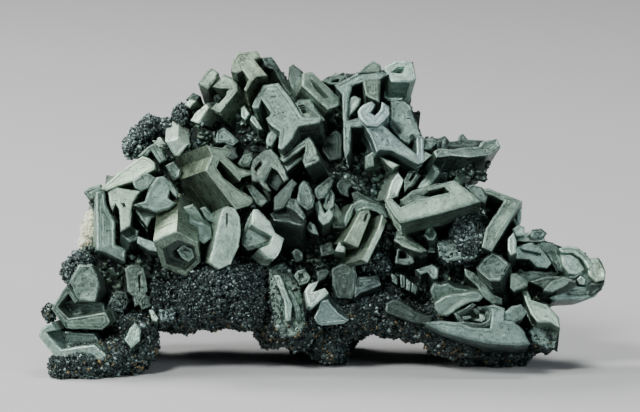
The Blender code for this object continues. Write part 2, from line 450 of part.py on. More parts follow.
def mesh_object(name, bm, *looks):
    """A new object that holds the bmesh, which is then freed."""
    mesh = bpy.data.meshes.new(name)
    bm.to_mesh(mesh)
    bm.free()
    made = bpy.data.objects.new(name, mesh)
    bpy.context.scene.collection.objects.link(made)
    for look in looks:
        mesh.materials.append(look)
    return made


def bake(target):
    """Turns an object's modifiers into its mesh."""
    graph = bpy.context.evaluated_depsgraph_get()
    result = bpy.data.meshes.new_from_object(target.evaluated_get(graph))
    target.modifiers.clear()
    target.data = result


def cut(target, cutter):
    """Applies one exact Boolean difference, in which either mesh may overlap itself."""
    modifier = target.modifiers.new("cut", "BOOLEAN")
    modifier.operation = "DIFFERENCE"
    modifier.solver = "EXACT"
    modifier.use_self = True
    modifier.object = cutter
    bake(target)
    bpy.data.objects.remove(cutter)


def thin(target, share):
    """Collapses the slivers where crystals cross, which leaves their faces flat."""
    modifier = target.modifiers.new("thin", "DECIMATE")
    modifier.ratio = share
    modifier.use_collapse_triangulate = True
    bake(target)


def cut_flat_on_floor(target):
    bm = bmesh.new()
    slab = bmesh.ops.create_cube(bm, size=1)["verts"]
    bmesh.ops.scale(bm, vec=(.3, .3, .04), verts=slab)
    bmesh.ops.translate(bm, vec=(0, 0, -.02), verts=slab)
    cut(target, mesh_object("below_floor", bm))


def keep_largest_shell(target):
    """Removes the crumbs that a cut leaves beside the main body, and closes its sealed hollows."""
    bm = bmesh.new()
    bm.from_mesh(target.data)
    left, shells = set(bm.faces), []
    while left:
        shell, front = set(), [left.pop()]
        while front:
            face = front.pop()
            shell.add(face)
            for edge in face.edges:
                if len(edge.link_faces) == 2:
                    for other in edge.link_faces:
                        if other in left:
                            left.remove(other)
                            front.append(other)
        shells.append(shell)
    shells.sort(key=len)
    loose = [face for shell in shells[:-1] for face in shell]
    bmesh.ops.delete(bm, geom=loose, context="FACES")
    bmesh.ops.dissolve_limit(bm, angle_limit=FLAT_ANGLE, verts=bm.verts, edges=bm.edges)
    bm.to_mesh(target.data)
    bm.free()


def main():
    for old in list(bpy.data.objects):
        bpy.data.objects.remove(old)

    acanthite = material("acanthite", (.27, .30, .27), .42, .85)
    druse = material("druse", (.055, .058, .05), .5, .6)
    calcite = material("calcite", (.78, .76, .68), .6, 0)

    body, pockets = bmesh.new(), bmesh.new()
    front_crystals(body, pockets)
    back_crystals(body, pockets)
    core_blocks(body)
    lumps(body, DRUSE, look=1)
    lumps(pockets, CALCITE, GAP)
    cluster = mesh_object("acanthite_cluster", body, acanthite, druse)
    cut(cluster, mesh_object("pockets", pockets))
    keep_largest_shell(cluster)
    thin(cluster, KEPT_TRIANGLES)
    cut_flat_on_floor(cluster)
    keep_largest_shell(cluster)

    patch = bmesh.new()
    lumps(patch, CALCITE)
    calcite_patch = mesh_object("calcite_patch", patch, calcite)
    cut_flat_on_floor(calcite_patch)
    keep_largest_shell(calcite_patch)


main()
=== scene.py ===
import math

import bmesh
import bpy
import numpy as np
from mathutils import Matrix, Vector, noise
from mathutils.bvhtree import BVHTree


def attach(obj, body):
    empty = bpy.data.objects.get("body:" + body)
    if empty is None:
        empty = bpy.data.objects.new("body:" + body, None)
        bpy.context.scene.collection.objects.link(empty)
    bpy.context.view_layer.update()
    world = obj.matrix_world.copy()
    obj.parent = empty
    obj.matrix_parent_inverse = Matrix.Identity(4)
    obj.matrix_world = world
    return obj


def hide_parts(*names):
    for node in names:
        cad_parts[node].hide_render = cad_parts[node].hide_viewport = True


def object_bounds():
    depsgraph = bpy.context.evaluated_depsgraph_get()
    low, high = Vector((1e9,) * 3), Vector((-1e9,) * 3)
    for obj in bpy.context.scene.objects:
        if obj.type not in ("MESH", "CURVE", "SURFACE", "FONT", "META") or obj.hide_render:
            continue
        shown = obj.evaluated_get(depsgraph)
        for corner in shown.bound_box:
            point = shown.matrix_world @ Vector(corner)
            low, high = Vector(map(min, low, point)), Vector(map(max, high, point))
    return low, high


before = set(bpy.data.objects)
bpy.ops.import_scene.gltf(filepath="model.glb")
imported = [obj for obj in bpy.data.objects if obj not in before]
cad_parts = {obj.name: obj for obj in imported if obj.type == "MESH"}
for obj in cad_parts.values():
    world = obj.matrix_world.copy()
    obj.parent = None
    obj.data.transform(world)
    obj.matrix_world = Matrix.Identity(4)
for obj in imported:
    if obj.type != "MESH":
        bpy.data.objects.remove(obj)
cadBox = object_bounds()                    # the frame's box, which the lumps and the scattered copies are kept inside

# The specimen is laid out on an elevation that leans back with the line of sight: columns run to
# the right and rows run down, 0.2 mm a square. Depths are in mm, away from the viewer.
layout = {
    "mm": 0.001,
    "square": 0.2,                      # mm
    "leanBack": math.radians(8),
    "midColumn": 322.5,
    "floorRow": 362.5,
    "midDepth": 3.53,
    "seed": 21,
}
mm = layout["mm"]
chance = np.random.default_rng(layout["seed"])


def viewVector(right, up, away):
    rise, run = math.sin(layout["leanBack"]), math.cos(layout["leanBack"])
    return Vector((right, up * rise + away * run, up * run - away * rise))


def gridPoint(column, row, depth):
    right = (column - layout["midColumn"]) * layout["square"]
    up = (layout["floorRow"] - row) * layout["square"]
    spot = viewVector(right, up, depth) * mm
    spot.y -= layout["midDepth"] * mm
    return spot


# Large crystals of the front: depth of the end face, slope of the length to the right and upwards,
# length in mm, corners of the end face, then each hollow in it as its depth in mm and its corners.
frontCrystals = {
    # crown and upper left
    "crown": (-11, (.10, -.45), 9, [(231, 72), (233, 60), (239, 53), (257, 51), (261, 58), (255, 60), (263, 70),
        (268, 76), (257, 77), (252, 82), (247, 92), (244, 90), (249, 80), (243, 71), (237, 74)]),
    "crownBlade": (-9, (-.35, -.30), 9, [(262, 58), (272, 57), (276, 62), (286, 78), (299, 98), (295, 104),
        (284, 88), (274, 70), (266, 67)]),
    "capLeft": (-6, (.10, -.35), 8, [(198, 84), (207, 70), (212, 68), (219, 73), (216, 80), (208, 90)]),
    "hookLeft": (-8, (.35, -.45), 10, [(212, 87), (224, 74), (233, 78), (238, 84), (238, 91), (220, 113),
        (211, 109), (230, 89), (222, 89)], (2, [(218, 104), (220, 107), (229, 97), (228, 94)])),
    "bladeLeft": (-8, (.50, -.15), 9, [(190, 121), (196, 112), (206, 104), (209, 108), (199, 124)]),
    "greatDiagonal": (-15, (.15, -.50), 11, [(252, 107), (254, 101), (263, 85), (279, 83), (289, 96),
        (303, 117), (322, 118), (319, 123), (298, 127), (292, 139), (282, 150), (278, 148), (280, 132),
        (271, 126), (266, 119), (271, 114), (262, 100), (259, 108), (255, 109)]),
    "diagonalWing": (-12.5, (.15, -.45), 9, [(294, 103), (299, 99), (310, 99), (325, 120), (319, 122),
        (303, 119)], (2.5, [(298, 106), (304, 105), (318, 117), (304, 117)])),
    "diagonalFoot": (-14, (0, -.3), 9, [(266, 141), (268, 134), (273, 129), (281, 130), (277, 139), (272, 147),
        (268, 146)]),
    "peakLeft": (-7, (.10, -.30), 10, [(289, 67), (293, 64), (303, 72), (303, 84), (298, 100), (290, 88),
        (288, 80)]),
    "slottedTablet": (-12, (-.25, -.45), 11, [(303, 74), (312, 72), (340, 98), (339, 106), (328, 110),
        (302, 86)], (3, [(310, 80), (313, 81), (329, 98), (325, 100), (315, 90)])),
    "farShelf": (-4, (0, -.4), 9, [(320, 81), (328, 76), (340, 74), (346, 77), (341, 85), (330, 85)],
        (1.5, [(330, 83), (332, 81), (339, 79), (340, 83)])),
    # the gate and the upper right
    "gate": (-14, (.05, -.30), 12, [(334, 86), (345, 80), (362, 71), (373, 69), (389, 75), (380, 80), (379, 92),
        (366, 92), (362, 83), (352, 87), (349, 98), (347, 121), (358, 118), (365, 124), (361, 128), (351, 128),
        (350, 150), (346, 158), (343, 150), (342, 95)]),
    "gateTongue": (-15, (0, -.45), 9, [(362, 79), (380, 78), (379, 103), (371, 99), (365, 96)]),
    "gateRoof": (-12, (0, -.5), 9, [(357, 74), (364, 66), (373, 61), (380, 65), (382, 72), (372, 73)]),
    "clasp": (-11, (-.15, -.62), 7, [(383, 70), (388, 64), (396, 60), (413, 62), (416, 79), (410, 82),
        (391, 82), (388, 76)], (2.2, [(390, 73), (397, 67), (404, 67), (403, 74), (398, 74)])),
    "claspRoot": (-8, (-.2, -.3), 12, [(384, 82), (398, 80), (410, 84), (402, 100), (391, 103), (384, 98)]),
    "brightHook": (-17, (0, -.30), 9, [(357, 112), (362, 106), (371, 102), (375, 105), (370, 113), (374, 116),
        (380, 110), (381, 102), (389, 107), (389, 115), (383, 122), (377, 127), (366, 126), (360, 120)]),
    "rightTower": (-11, (0, -.25), 12, [(390, 101), (404, 100), (411, 106), (416, 121), (421, 134), (408, 145),
        (400, 140), (389, 127)]),
    "greatWedge": (-16, (-.12, -.22), 12, [(365, 128), (372, 126), (383, 125), (402, 143), (416, 154),
        (416, 139), (411, 134), (423, 137), (424, 162), (418, 165), (392, 151), (380, 150), (376, 153),
        (371, 139)]),
    "greyBlock": (-9, (0, -.3), 9, [(322, 140), (330, 133), (336, 130), (342, 135), (342, 158), (330, 161),
        (322, 152)]),
    "shelfTab": (-8.5, (0, -.2), 8, [(423, 139), (433, 138), (437, 143), (430, 150), (422, 150)]),
    "shelfRim": (-7, (-.38, -.66), 8, [(433, 151), (438, 148), (452, 149), (463, 147), (479, 146), (482, 141),
        (497, 138), (501, 147), (489, 154), (468, 157), (452, 155), (436, 157)]),
    "shelfBack": (-3, (-.15, -.55), 9, [(433, 148), (437, 138), (445, 135), (450, 141), (458, 140), (459, 135),
        (463, 133), (468, 139), (484, 140), (482, 147), (452, 149)]),
    # centre right
    "brightBlade": (-13, (-.35, -.10), 9, [(386, 199), (391, 182), (398, 172), (404, 180), (401, 188),
        (398, 197), (390, 200)]),
    "longFrame": (-20, (.02, -.30), 11, [(383, 199), (391, 198), (400, 207), (415, 199), (422, 198), (448, 192),
        (443, 187), (427, 191), (425, 188), (453, 180), (460, 185), (472, 194), (480, 201), (465, 206),
        (440, 213), (399, 223), (391, 213)]),
    "frameFiller": (-17.5, (0, -.2), 9, [(399, 200), (412, 190), (436, 183), (450, 183), (452, 193), (425, 201),
        (404, 207)], (2, [(421, 196), (430, 190), (444, 188), (446, 192), (430, 197)])),
    "angleFrame": (-17, (.02, -.25), 10, [(481, 189), (487, 188), (521, 201), (516, 208), (500, 235),
        (490, 251), (480, 247), (484, 228), (502, 201), (490, 195), (484, 194)]),
    "angleCheek": (-13, (-.1, -.2), 8, [(510, 216), (516, 207), (521, 202), (520, 222), (515, 229)],
        (1.2, [(512, 217), (516, 210), (516, 222)])),
    "frameTab": (-15, (0, -.3), 9, [(465, 187), (471, 184), (481, 187), (487, 195), (484, 204), (472, 196)]),
    "backBlade": (-11, (.2, -.2), 9, [(415, 188), (423, 178), (432, 164), (438, 168), (439, 173), (432, 183),
        (424, 191)]),
    "frostedWedge": (-13, (0, -.25), 11, [(436, 242), (452, 236), (462, 207), (472, 202), (486, 208),
        (484, 228), (480, 250), (474, 259), (455, 260), (446, 262), (438, 256)]),
    "postHead": (-14, (.1, -.55), 6, [(424, 229), (428, 226), (433, 227), (436, 233), (433, 239), (427, 239),
        (423, 234)]),
    "ledgeBlade": (-14, (0, -.5), 9, [(395, 231), (401, 229), (427, 250), (420, 252), (402, 246), (393, 240)]),
    "basket": (-13, (0, -.3), 9, [(394, 263), (396, 248), (404, 247), (413, 257), (414, 262), (408, 265)],
        (2.5, [(397, 258), (399, 250), (404, 250), (409, 258)])),
    "ledgeGrey": (-14, (0, -.35), 9, [(414, 269), (431, 263), (438, 267), (437, 278), (432, 279), (427, 272),
        (420, 274)]),
    # centre
    "bookLeft": (-18, (-.25, -.10), 10, [(343, 241), (349, 231), (360, 211), (369, 210), (371, 215),
        (358, 247)], (1.5, [(363, 221), (366, 213), (369, 213), (366, 221)])),
    "bookRight": (-18, (-.45, -.15), 10, [(361, 259), (366, 252), (378, 228), (382, 214), (387, 220),
        (381, 236), (373, 252), (368, 262)]),
    "bookRoof": (-16, (0, .15), 10, [(352, 205), (360, 199), (378, 205), (385, 209), (388, 217), (384, 219),
        (376, 212), (366, 210), (356, 214)]),
    "roofSlab": (-13, (.1, -.2), 9, [(350, 193), (357, 190), (370, 198), (380, 202), (379, 209), (363, 207),
        (353, 200)]),
    "bookEnd": (-15, (-.3, -.1), 9, [(344, 222), (346, 213), (352, 203), (356, 206), (350, 220), (346, 227)]),
    "cleftLeft": (-14, (0, -.3), 9, [(314, 188), (321, 182), (330, 176), (334, 180), (331, 187), (325, 197),
        (318, 201), (314, 196)]),
    "cup": (-16, (0, -.3), 9, [(314, 203), (320, 200), (325, 213), (329, 206), (334, 214), (329, 222),
        (323, 225), (318, 219)]),
    "cupBack": (-13, (0, -.2), 8, [(324, 197), (330, 186), (335, 196), (334, 206), (327, 213), (322, 206)]),
    "greyDome": (-13, (0, -.2), 8, [(330, 204), (335, 202), (343, 213), (343, 228), (333, 227), (330, 216)]),
    # centre left
    "gable": (-16, (.10, -.35), 11, [(250, 172), (253, 160), (264, 150), (272, 148), (278, 155), (286, 169),
        (289, 179), (284, 182), (278, 172), (272, 168), (266, 181), (272, 191), (268, 191), (259, 182),
        (252, 181)], (1.2, [(254, 168), (260, 160), (263, 162), (258, 176)])),
    "gablePanel": (-14, (0, -.2), 8, [(264, 183), (272, 166), (287, 177), (278, 192)]),
    "greyLobe": (-12, (0, -.2), 8, [(238, 163), (243, 155), (253, 152), (255, 158), (250, 168), (242, 168)]),
    "aFrame": (-17, (.25, -.40), 10, [(279, 158), (309, 136), (314, 143), (320, 161), (305, 168), (302, 160),
        (305, 147), (283, 163)]),
    "aFrameBar": (-15, (0, -.3), 9, [(283, 165), (297, 155), (304, 151), (304, 158), (298, 163), (287, 172)]),
    "roofLeft": (-17, (.10, -.30), 10, [(274, 197), (292, 178), (298, 183), (292, 192), (290, 200), (285, 207),
        (274, 211)]),
    "roofRight": (-18, (0, -.30), 10, [(297, 198), (299, 186), (303, 180), (309, 182), (315, 197), (313, 207),
        (307, 210), (298, 203)]),
    "frontLap": (-18.5, (0, -.4), 8, [(286, 206), (290, 198), (298, 198), (306, 216), (304, 220), (296, 212)]),
    "linedDome": (-17, (0, -.62), 8, [(270, 213), (286, 205), (297, 211), (307, 219), (303, 226), (289, 222),
        (274, 220)]),
    "greatBlock": (-18, (-.48, -.15), 12, [(207, 171), (213, 156), (208, 145), (213, 147), (228, 148),
        (234, 153), (229, 158), (240, 168), (252, 171), (253, 175), (243, 178), (241, 182), (231, 171),
        (221, 161), (218, 168), (225, 178), (238, 188), (254, 198), (254, 203), (250, 206), (237, 210)]),
    "blockTop": (-12, (0, -.3), 8, [(222, 149), (228, 144), (236, 148), (239, 157), (232, 161), (226, 156)]),
    "blockRung": (-14, (0, -.2), 8, [(246, 186), (252, 183), (270, 201), (262, 207), (256, 204)]),
    "upperGrey": (-12, (0, .35), 8, [(166, 142), (179, 139), (190, 145), (180, 157), (175, 157)]),
    # far left
    "ridgeLeft": (-8, (0, -.3), 9, [(138, 157), (148, 147), (155, 143), (163, 150), (168, 160), (160, 164),
        (152, 151), (148, 157)]),
    "whiteSlab": (-10, (.15, -.25), 9, [(101, 189), (120, 172), (143, 156), (150, 158), (156, 163), (156, 170),
        (146, 175), (132, 183), (118, 187), (108, 191)]),
    "slabStep": (-12, (0, -.2), 9, [(133, 181), (146, 172), (158, 178), (150, 188), (143, 192), (136, 188)]),
    "table": (-14, (.10, -.30), 10, [(109, 192), (118, 187), (142, 191), (134, 204), (132, 226), (122, 232),
        (121, 220), (120, 209), (117, 204), (114, 211), (111, 204)], (1.5, [(122, 203), (126, 203), (131, 212),
        (129, 215)])),
    "greyCube": (-13, (-.1, -.45), 7, [(122, 233), (131, 224), (141, 230), (139, 239), (131, 242)]),
    "tallLeft": (-11, (-.15, -.20), 10, [(97, 192), (106, 190), (108, 205), (117, 221), (117, 244), (128, 249),
        (127, 262), (104, 251), (98, 250)]),
    "leftLip": (-7, (.1, -.2), 9, [(84, 192), (90, 187), (102, 184), (102, 192), (97, 194), (96, 199),
        (89, 198)]),
    "tent": (-16, (0, -.30), 10, [(146, 201), (150, 188), (158, 177), (164, 176), (172, 181), (180, 193),
        (178, 198), (171, 191), (170, 198), (178, 203), (170, 209), (158, 212), (134, 205)]),
    "scallop": (-14, (0, -.3), 9, [(134, 206), (141, 205), (152, 211), (161, 214), (153, 218), (149, 227),
        (142, 219)]),
    "hexagon": (-20, (.03, .60), 10, [(155, 241), (178, 231), (199, 242), (202, 262), (187, 277), (163, 267)],
        (1.2, [(164, 249), (179, 240), (196, 246), (198, 260), (187, 271), (168, 264)]), (3, [(171, 256),
        (178, 250), (185, 260), (192, 264), (186, 269), (173, 263)])),
    "hexagonLobes": (-18, (0, .2), 9, [(190, 217), (199, 222), (204, 222), (212, 229), (213, 238), (205, 244),
        (198, 240), (191, 232)]),
    "hexagonShoulder": (-16, (0, .1), 9, [(184, 207), (194, 205), (199, 210), (204, 220), (198, 224),
        (189, 217)]),
    "whiteTab": (-15, (.1, -.2), 8, [(139, 235), (157, 242), (160, 252), (150, 250), (138, 243)]),
    "tallPrism": (-20, (-.22, -.05), 12, [(221, 216), (223, 209), (228, 206), (236, 208), (241, 217),
        (242, 230), (240, 246), (232, 264), (220, 269), (210, 262), (216, 238)], (1.5, [(227, 213), (229, 213),
        (229, 224), (227, 227)])),
    "prismRight": (-17, (0, -.25), 11, [(243, 232), (248, 217), (255, 208), (262, 222), (272, 241), (262, 247),
        (248, 250), (242, 244)]),
    "prismBand": (-19, (-.25, -.25), 11, [(254, 209), (259, 209), (271, 221), (276, 232), (285, 238),
        (281, 251), (276, 258), (269, 257), (260, 248), (271, 243), (273, 236), (252, 224)]),
    # lower left foot
    "bigHexagon": (-17, (.15, -.10), 11, [(70, 281), (80, 264), (94, 263), (99, 274), (102, 288), (97, 301),
        (79, 302)]),
    "openBox": (-18, (.25, .10), 10, [(53, 308), (69, 284), (80, 300), (77, 303), (70, 293), (60, 306),
        (71, 317), (108, 311), (112, 322), (104, 329), (68, 328)]),
    "boxFloor": (-14, (.2, 0), 9, [(64, 300), (76, 298), (104, 302), (108, 314), (72, 318)]),
    "lowerBox": (-20, (.25, .10), 10, [(41, 335), (44, 327), (54, 321), (60, 329), (49, 331), (64, 348),
        (96, 343), (108, 353), (112, 364), (78, 363), (71, 357), (60, 358), (50, 347)]),
    "lowerFloor": (-16, (.2, 0), 9, [(54, 326), (66, 330), (96, 332), (104, 346), (66, 350)]),
    "postLeft": (-14, (0, -.2), 10, [(126, 268), (131, 264), (141, 263), (146, 268), (149, 290), (140, 304),
        (136, 306), (134, 296), (128, 290)], (1.2, [(139, 274), (142, 274), (142, 290), (140, 291)])),
    "darkBlock": (-13, (0, -.2), 9, [(107, 306), (112, 297), (118, 289), (128, 292), (131, 301), (124, 311),
        (109, 310)]),
    "leaf": (-20, (0, -.3), 9, [(126, 338), (131, 327), (137, 321), (143, 326), (142, 339), (133, 347)]),
    # middle foot
    "coatedColumn": (-15, (0, -.1), 11, [(269, 268), (283, 262), (292, 272), (301, 290), (306, 322), (300, 335),
        (283, 336), (275, 322), (270, 295)]),
    "coatedBlade": (-17, (.1, -.1), 9, [(273, 274), (281, 274), (285, 287), (292, 303), (291, 319), (286, 321),
        (284, 300), (278, 285)]),
    "heart": (-18, (-.1, -.2), 9, [(305, 289), (309, 283), (319, 280), (316, 286), (313, 291), (325, 287),
        (329, 292), (321, 299), (312, 307), (308, 305)]),
    "fanShell": (-17, (0, .2), 9, [(314, 317), (318, 309), (321, 300), (328, 299), (332, 305), (338, 312),
        (349, 319), (344, 323), (322, 325), (317, 323)]),
    "darkPrism": (-14, (0, -.2), 10, [(331, 268), (340, 263), (354, 262), (357, 275), (356, 290), (352, 298),
        (336, 297), (332, 285)]),
    "blueRoof": (-14, (0, -.45), 9, [(355, 276), (378, 274), (381, 284), (360, 292), (354, 297)]),
    # right arm and lower right
    "curledSlab": (-20, (0, .1), 10, [(433, 302), (441, 296), (450, 293), (463, 292), (470, 290), (478, 291),
        (482, 296), (478, 301), (468, 302), (460, 306), (452, 312), (446, 316), (439, 315), (434, 309)]),
    "slabBack": (-17, (0, .1), 9, [(429, 290), (433, 282), (440, 284), (447, 282), (455, 287), (469, 289),
        (463, 294), (445, 297), (434, 304)]),
    "longBlade": (-16, (0, -.25), 9, [(463, 267), (472, 271), (481, 279), (492, 293), (501, 297), (501, 304),
        (490, 303), (480, 295), (476, 286), (464, 275)]),
    "bigCube": (-18, (.15, -.55), 8, [(474, 267), (481, 258), (491, 250), (499, 254), (509, 263), (498, 280),
        (488, 280), (482, 275)]),
    "cubeRight": (-17.5, (0, -.2), 9, [(508, 273), (514, 272), (526, 280), (526, 285), (512, 291), (508, 287)]),
    "baseSlab": (-21, (0, -.15), 12, [(422, 321), (440, 319), (458, 321), (470, 326), (488, 327), (490, 311),
        (484, 305), (492, 303), (503, 307), (502, 319), (512, 320), (521, 328), (528, 342), (515, 344),
        (485, 342), (460, 336), (440, 330)]),
    "maze": (-20, (0, -.15), 9, [(452, 312), (462, 307), (475, 305), (485, 305), (491, 312), (489, 326),
        (480, 328), (460, 325)], (2, [(458, 314), (471, 308), (484, 309), (487, 317), (480, 323), (464, 322)])),
    "slabKnob": (-20, (0, -.1), 9, [(501, 312), (509, 305), (519, 303), (525, 311), (520, 318), (512, 322),
        (502, 320)]),
    "heel": (-17, (0, -.40), 10, [(520, 290), (526, 289), (530, 299), (545, 303), (557, 316), (558, 327),
        (548, 321), (535, 321), (528, 312)]),
    "heelBase": (-15, (-.1, -.1), 10, [(534, 319), (549, 319), (556, 332), (553, 347), (541, 345), (531, 341),
        (527, 330)]),
    "skull": (-13, (-.15, -.1), 12, [(558, 250), (572, 247), (580, 250), (588, 258), (597, 257), (601, 263),
        (604, 272), (603, 284), (594, 296), (585, 299), (555, 301), (547, 297), (560, 288), (566, 274),
        (559, 262)], (2.5, [(574, 277), (579, 274), (584, 279), (584, 287), (575, 287)]), (1.0, [(567, 251),
        (575, 253), (585, 265), (582, 267), (573, 257)])),
    "jaw": (-15, (-.1, -.1), 10, [(528, 281), (545, 276), (565, 275), (574, 281), (562, 288), (552, 292),
        (545, 291), (539, 286)]),
    "neck": (-13, (-.2, -.1), 10, [(508, 273), (530, 270), (562, 272), (550, 279), (527, 283)]),
    "layers": (-14, (-.2, -.2), 10, [(514, 246), (530, 242), (538, 245), (545, 254), (551, 263), (546, 268),
        (535, 266), (528, 259), (513, 258)], (1.5, [(518, 248), (540, 253), (540, 257), (519, 252)])),
    "layersTop": (-12.5, (-.1, -.2), 10, [(514, 241), (523, 233), (529, 231), (536, 235), (543, 236),
        (544, 241), (530, 242)]),
    "layersRight": (-12, (-.2, -.2), 10, [(535, 244), (541, 240), (552, 242), (558, 247), (562, 262),
        (565, 273), (556, 273), (550, 262), (545, 254)]),
    "whitePost": (-18, (0, -.3), 9, [(506, 238), (512, 231), (515, 240), (515, 252), (509, 255), (506, 249)]),
    "whiteKnob": (-15.5, (0, -.2), 8, [(510, 229), (517, 224), (523, 227), (523, 235), (515, 236)]),
    "lowerSheets": (-16, (0, -.2), 9, [(385, 303), (392, 298), (404, 301), (418, 311), (432, 316), (428, 323),
        (412, 321), (396, 315), (385, 311)]),
}

# Lesser crystals between them.
smallCrystals = {
    "chipUpper": (-3, (.10, -.30), 7, [(186, 99), (193, 92), (201, 96), (196, 103)]),
    "sliverLeft": (-8, (0, -.3), 7, [(241, 108), (245, 105), (251, 114), (246, 121), (241, 117)]),
    "sliverRight": (-9, (0, -.3), 7, [(252, 115), (256, 116), (264, 130), (259, 131), (250, 120)]),
    "shelfWedge": (-11, (-.2, -.1), 8, [(422, 151), (432, 155), (423, 163)]),
    "bookFoot": (-16, (0, -.2), 8, [(334, 251), (339, 240), (346, 247), (344, 252)]),
    "brightChip": (-16, (0, -.2), 7, [(306, 227), (310, 221), (315, 224), (319, 235), (312, 233)]),
    "midScrap": (-10, (0, -.3), 8, [(217, 131), (224, 127), (232, 133), (240, 141), (233, 147), (225, 143),
        (216, 144)]),
    "wedgeUnder": (-11, (0, -.2), 8, [(166, 166), (175, 161), (183, 170), (181, 178), (175, 181)]),
    "pebble": (-14, (0, -.1), 8, [(200, 208), (206, 206), (215, 216), (214, 223), (208, 221)]),
    "stub": (-14.5, (0, -.2), 8, [(139, 301), (146, 292), (151, 296), (152, 306), (143, 309)]),
    "whiteChip": (-16.5, (0, -.2), 8, [(150, 309), (154, 308), (160, 317), (158, 321), (154, 320)]),
    "frostedCube": (-16.5, (0, -.2), 8, [(160, 308), (173, 307), (177, 318), (162, 321)]),
    "coatedSliver": (-16.5, (.1, -.1), 9, [(286, 283), (290, 286), (296, 298), (300, 306), (300, 319),
        (296, 320), (293, 305), (288, 292)]),
    "ringLow": (-16, (0, -.1), 8, [(294, 275), (297, 270), (304, 268), (311, 276), (308, 282), (300, 285)],
        (1.2, [(298, 273), (303, 272), (305, 278), (299, 279)])),
    "ringHigh": (-14, (0, -.1), 8, [(291, 252), (296, 247), (303, 252), (303, 260), (296, 262)]),
    "fanBits": (-14, (0, -.2), 8, [(316, 270), (326, 268), (330, 271), (325, 278), (317, 282)]),
    "darkCube": (-13, (0, -.2), 8, [(319, 244), (332, 241), (335, 253), (321, 256)]),
    "stripeA": (-14, (.1, -.1), 7, [(390, 272), (398, 276), (397, 285), (391, 281)]),
    "stripeB": (-15, (.1, -.1), 7, [(399, 273), (404, 275), (404, 287), (400, 287)]),
    "stripeC": (-15, (.1, -.1), 7, [(405, 276), (410, 281), (409, 291), (405, 289)]),
    "stripeD": (-15, (.1, -.1), 7, [(411, 281), (417, 286), (415, 294), (410, 291)]),
    "chipLeft": (-5, (.20, -.20), 7, [(184, 105), (190, 99), (197, 101), (190, 108)]),
    "gateLobe": (-13, (0, -.2), 8, [(348, 99), (354, 96), (361, 99), (359, 106), (352, 114), (347, 120)]),
    "wedgeKeel": (-14, (0, -.2), 8, [(380, 157), (388, 160), (399, 165), (392, 169), (386, 164)]),
    "darkPillar": (-12.5, (.3, -.1), 9, [(364, 156), (373, 151), (373, 166), (364, 170)]),
    "cleftBlade": (-12, (0, -.3), 9, [(403, 180), (408, 171), (416, 168), (420, 176), (412, 187), (404, 193)],
        (1.5, [(408, 180), (413, 172), (416, 173), (411, 182)])),
    "post": (-12, (0, -.4), 9, [(428, 236), (433, 236), (435, 252), (427, 252)]),
    "knuckle": (-12, (0, -.2), 8, [(336, 184), (340, 179), (348, 180), (353, 184), (348, 190), (349, 197),
        (342, 195), (337, 190)]),
    "hexagonCore": (-19.6, (0, .2), 4, [(178, 250), (184, 243), (194, 248), (196, 257), (190, 262), (183, 258)],
        (.8, [(182, 251), (186, 247), (192, 251), (193, 256), (189, 258)])),
    "curlOuter": (-20.6, (0, -.1), 4, [(458, 320), (470, 321), (480, 322), (487, 318), (488, 312), (484, 308),
        (480, 307), (484, 304), (490, 308), (493, 315), (490, 323), (480, 328), (468, 326), (457, 324)]),
    "curlInner": (-20.4, (0, -.1), 4, [(477, 312), (482, 313), (484, 318), (480, 321), (471, 319), (478, 317)]),
    "curlBar": (-20.4, (0, -.1), 4, [(460, 315), (469, 314), (471, 317), (462, 319)]),
    "curlTop": (-20.6, (0, -.1), 4, [(454, 311), (463, 307), (471, 302), (475, 304), (466, 310), (457, 315)]),
    "curlSlant": (-20.3, (0, -.1), 4, [(471, 308), (475, 306), (479, 311), (475, 314)]),
    "skullBrow": (-14, (-.1, -.45), 4, [(556, 248), (566, 245), (577, 247), (586, 255), (592, 263), (587, 268),
        (580, 258), (571, 252), (560, 252)]),
    "skullCheek": (-14.5, (-.35, -.25), 5, [(560, 256), (569, 254), (577, 258), (584, 269), (576, 274),
        (567, 273), (561, 265)]),
    "skullLobe": (-14, (-.12, -.25), 5, [(588, 259), (597, 258), (601, 264), (604, 271), (603, 279), (594, 281),
        (587, 275), (586, 267)]),
    "skullChin": (-13.5, (-.1, .2), 5, [(588, 283), (603, 281), (600, 290), (590, 297), (584, 292)]),
    "skullTooth": (-14, (-.1, .1), 4, [(575, 279), (579, 275), (584, 279), (583, 285), (577, 284)]),
    "skullJaw": (-14.5, (-.1, -.12), 5, [(566, 290), (577, 288), (588, 290), (586, 294), (570, 294)]),
    "armPlane": (-16, (-.05, -.28), 5, [(541, 290), (549, 280), (562, 276), (572, 279), (562, 286),
        (550, 291)]),
    "armFacet": (-15.5, (.1, .2), 5, [(562, 280), (574, 280), (573, 287), (563, 293), (553, 296), (556, 287)]),
    "armNotch": (-14, (0, -.2), 4, [(553, 262), (557, 258), (563, 268), (561, 272), (556, 270)]),
    "layersTip": (-13, (-.1, -.2), 5, [(528, 236), (531, 229), (540, 228), (546, 233), (541, 239), (532, 240)]),
}

# Hopper shapes of the crystals at the back, one unit across.
hopperShapes = {
    "block": [(-.5, -.32), (-.34, -.5), (.5, -.42), (.46, .38), (.32, .5), (-.5, .44)],
    "cFrame": [(-.5, -.5), (.5, -.5), (.5, -.22), (-.18, -.2), (-.16, .2), (.5, .24), (.45, .5), (-.5, .5)],
    "lFrame": [(-.5, -.5), (.5, -.5), (.5, -.15), (-.1, -.15), (-.1, .5), (-.42, .5)],
    "hexagon": [(-.5, 0), (-.26, -.46), (.26, -.44), (.5, 0), (.24, .46), (-.27, .43)],
    "slab": [(-.5, -.2), (-.38, -.32), (.5, -.28), (.48, .2), (.36, .32), (-.46, .3)],
}

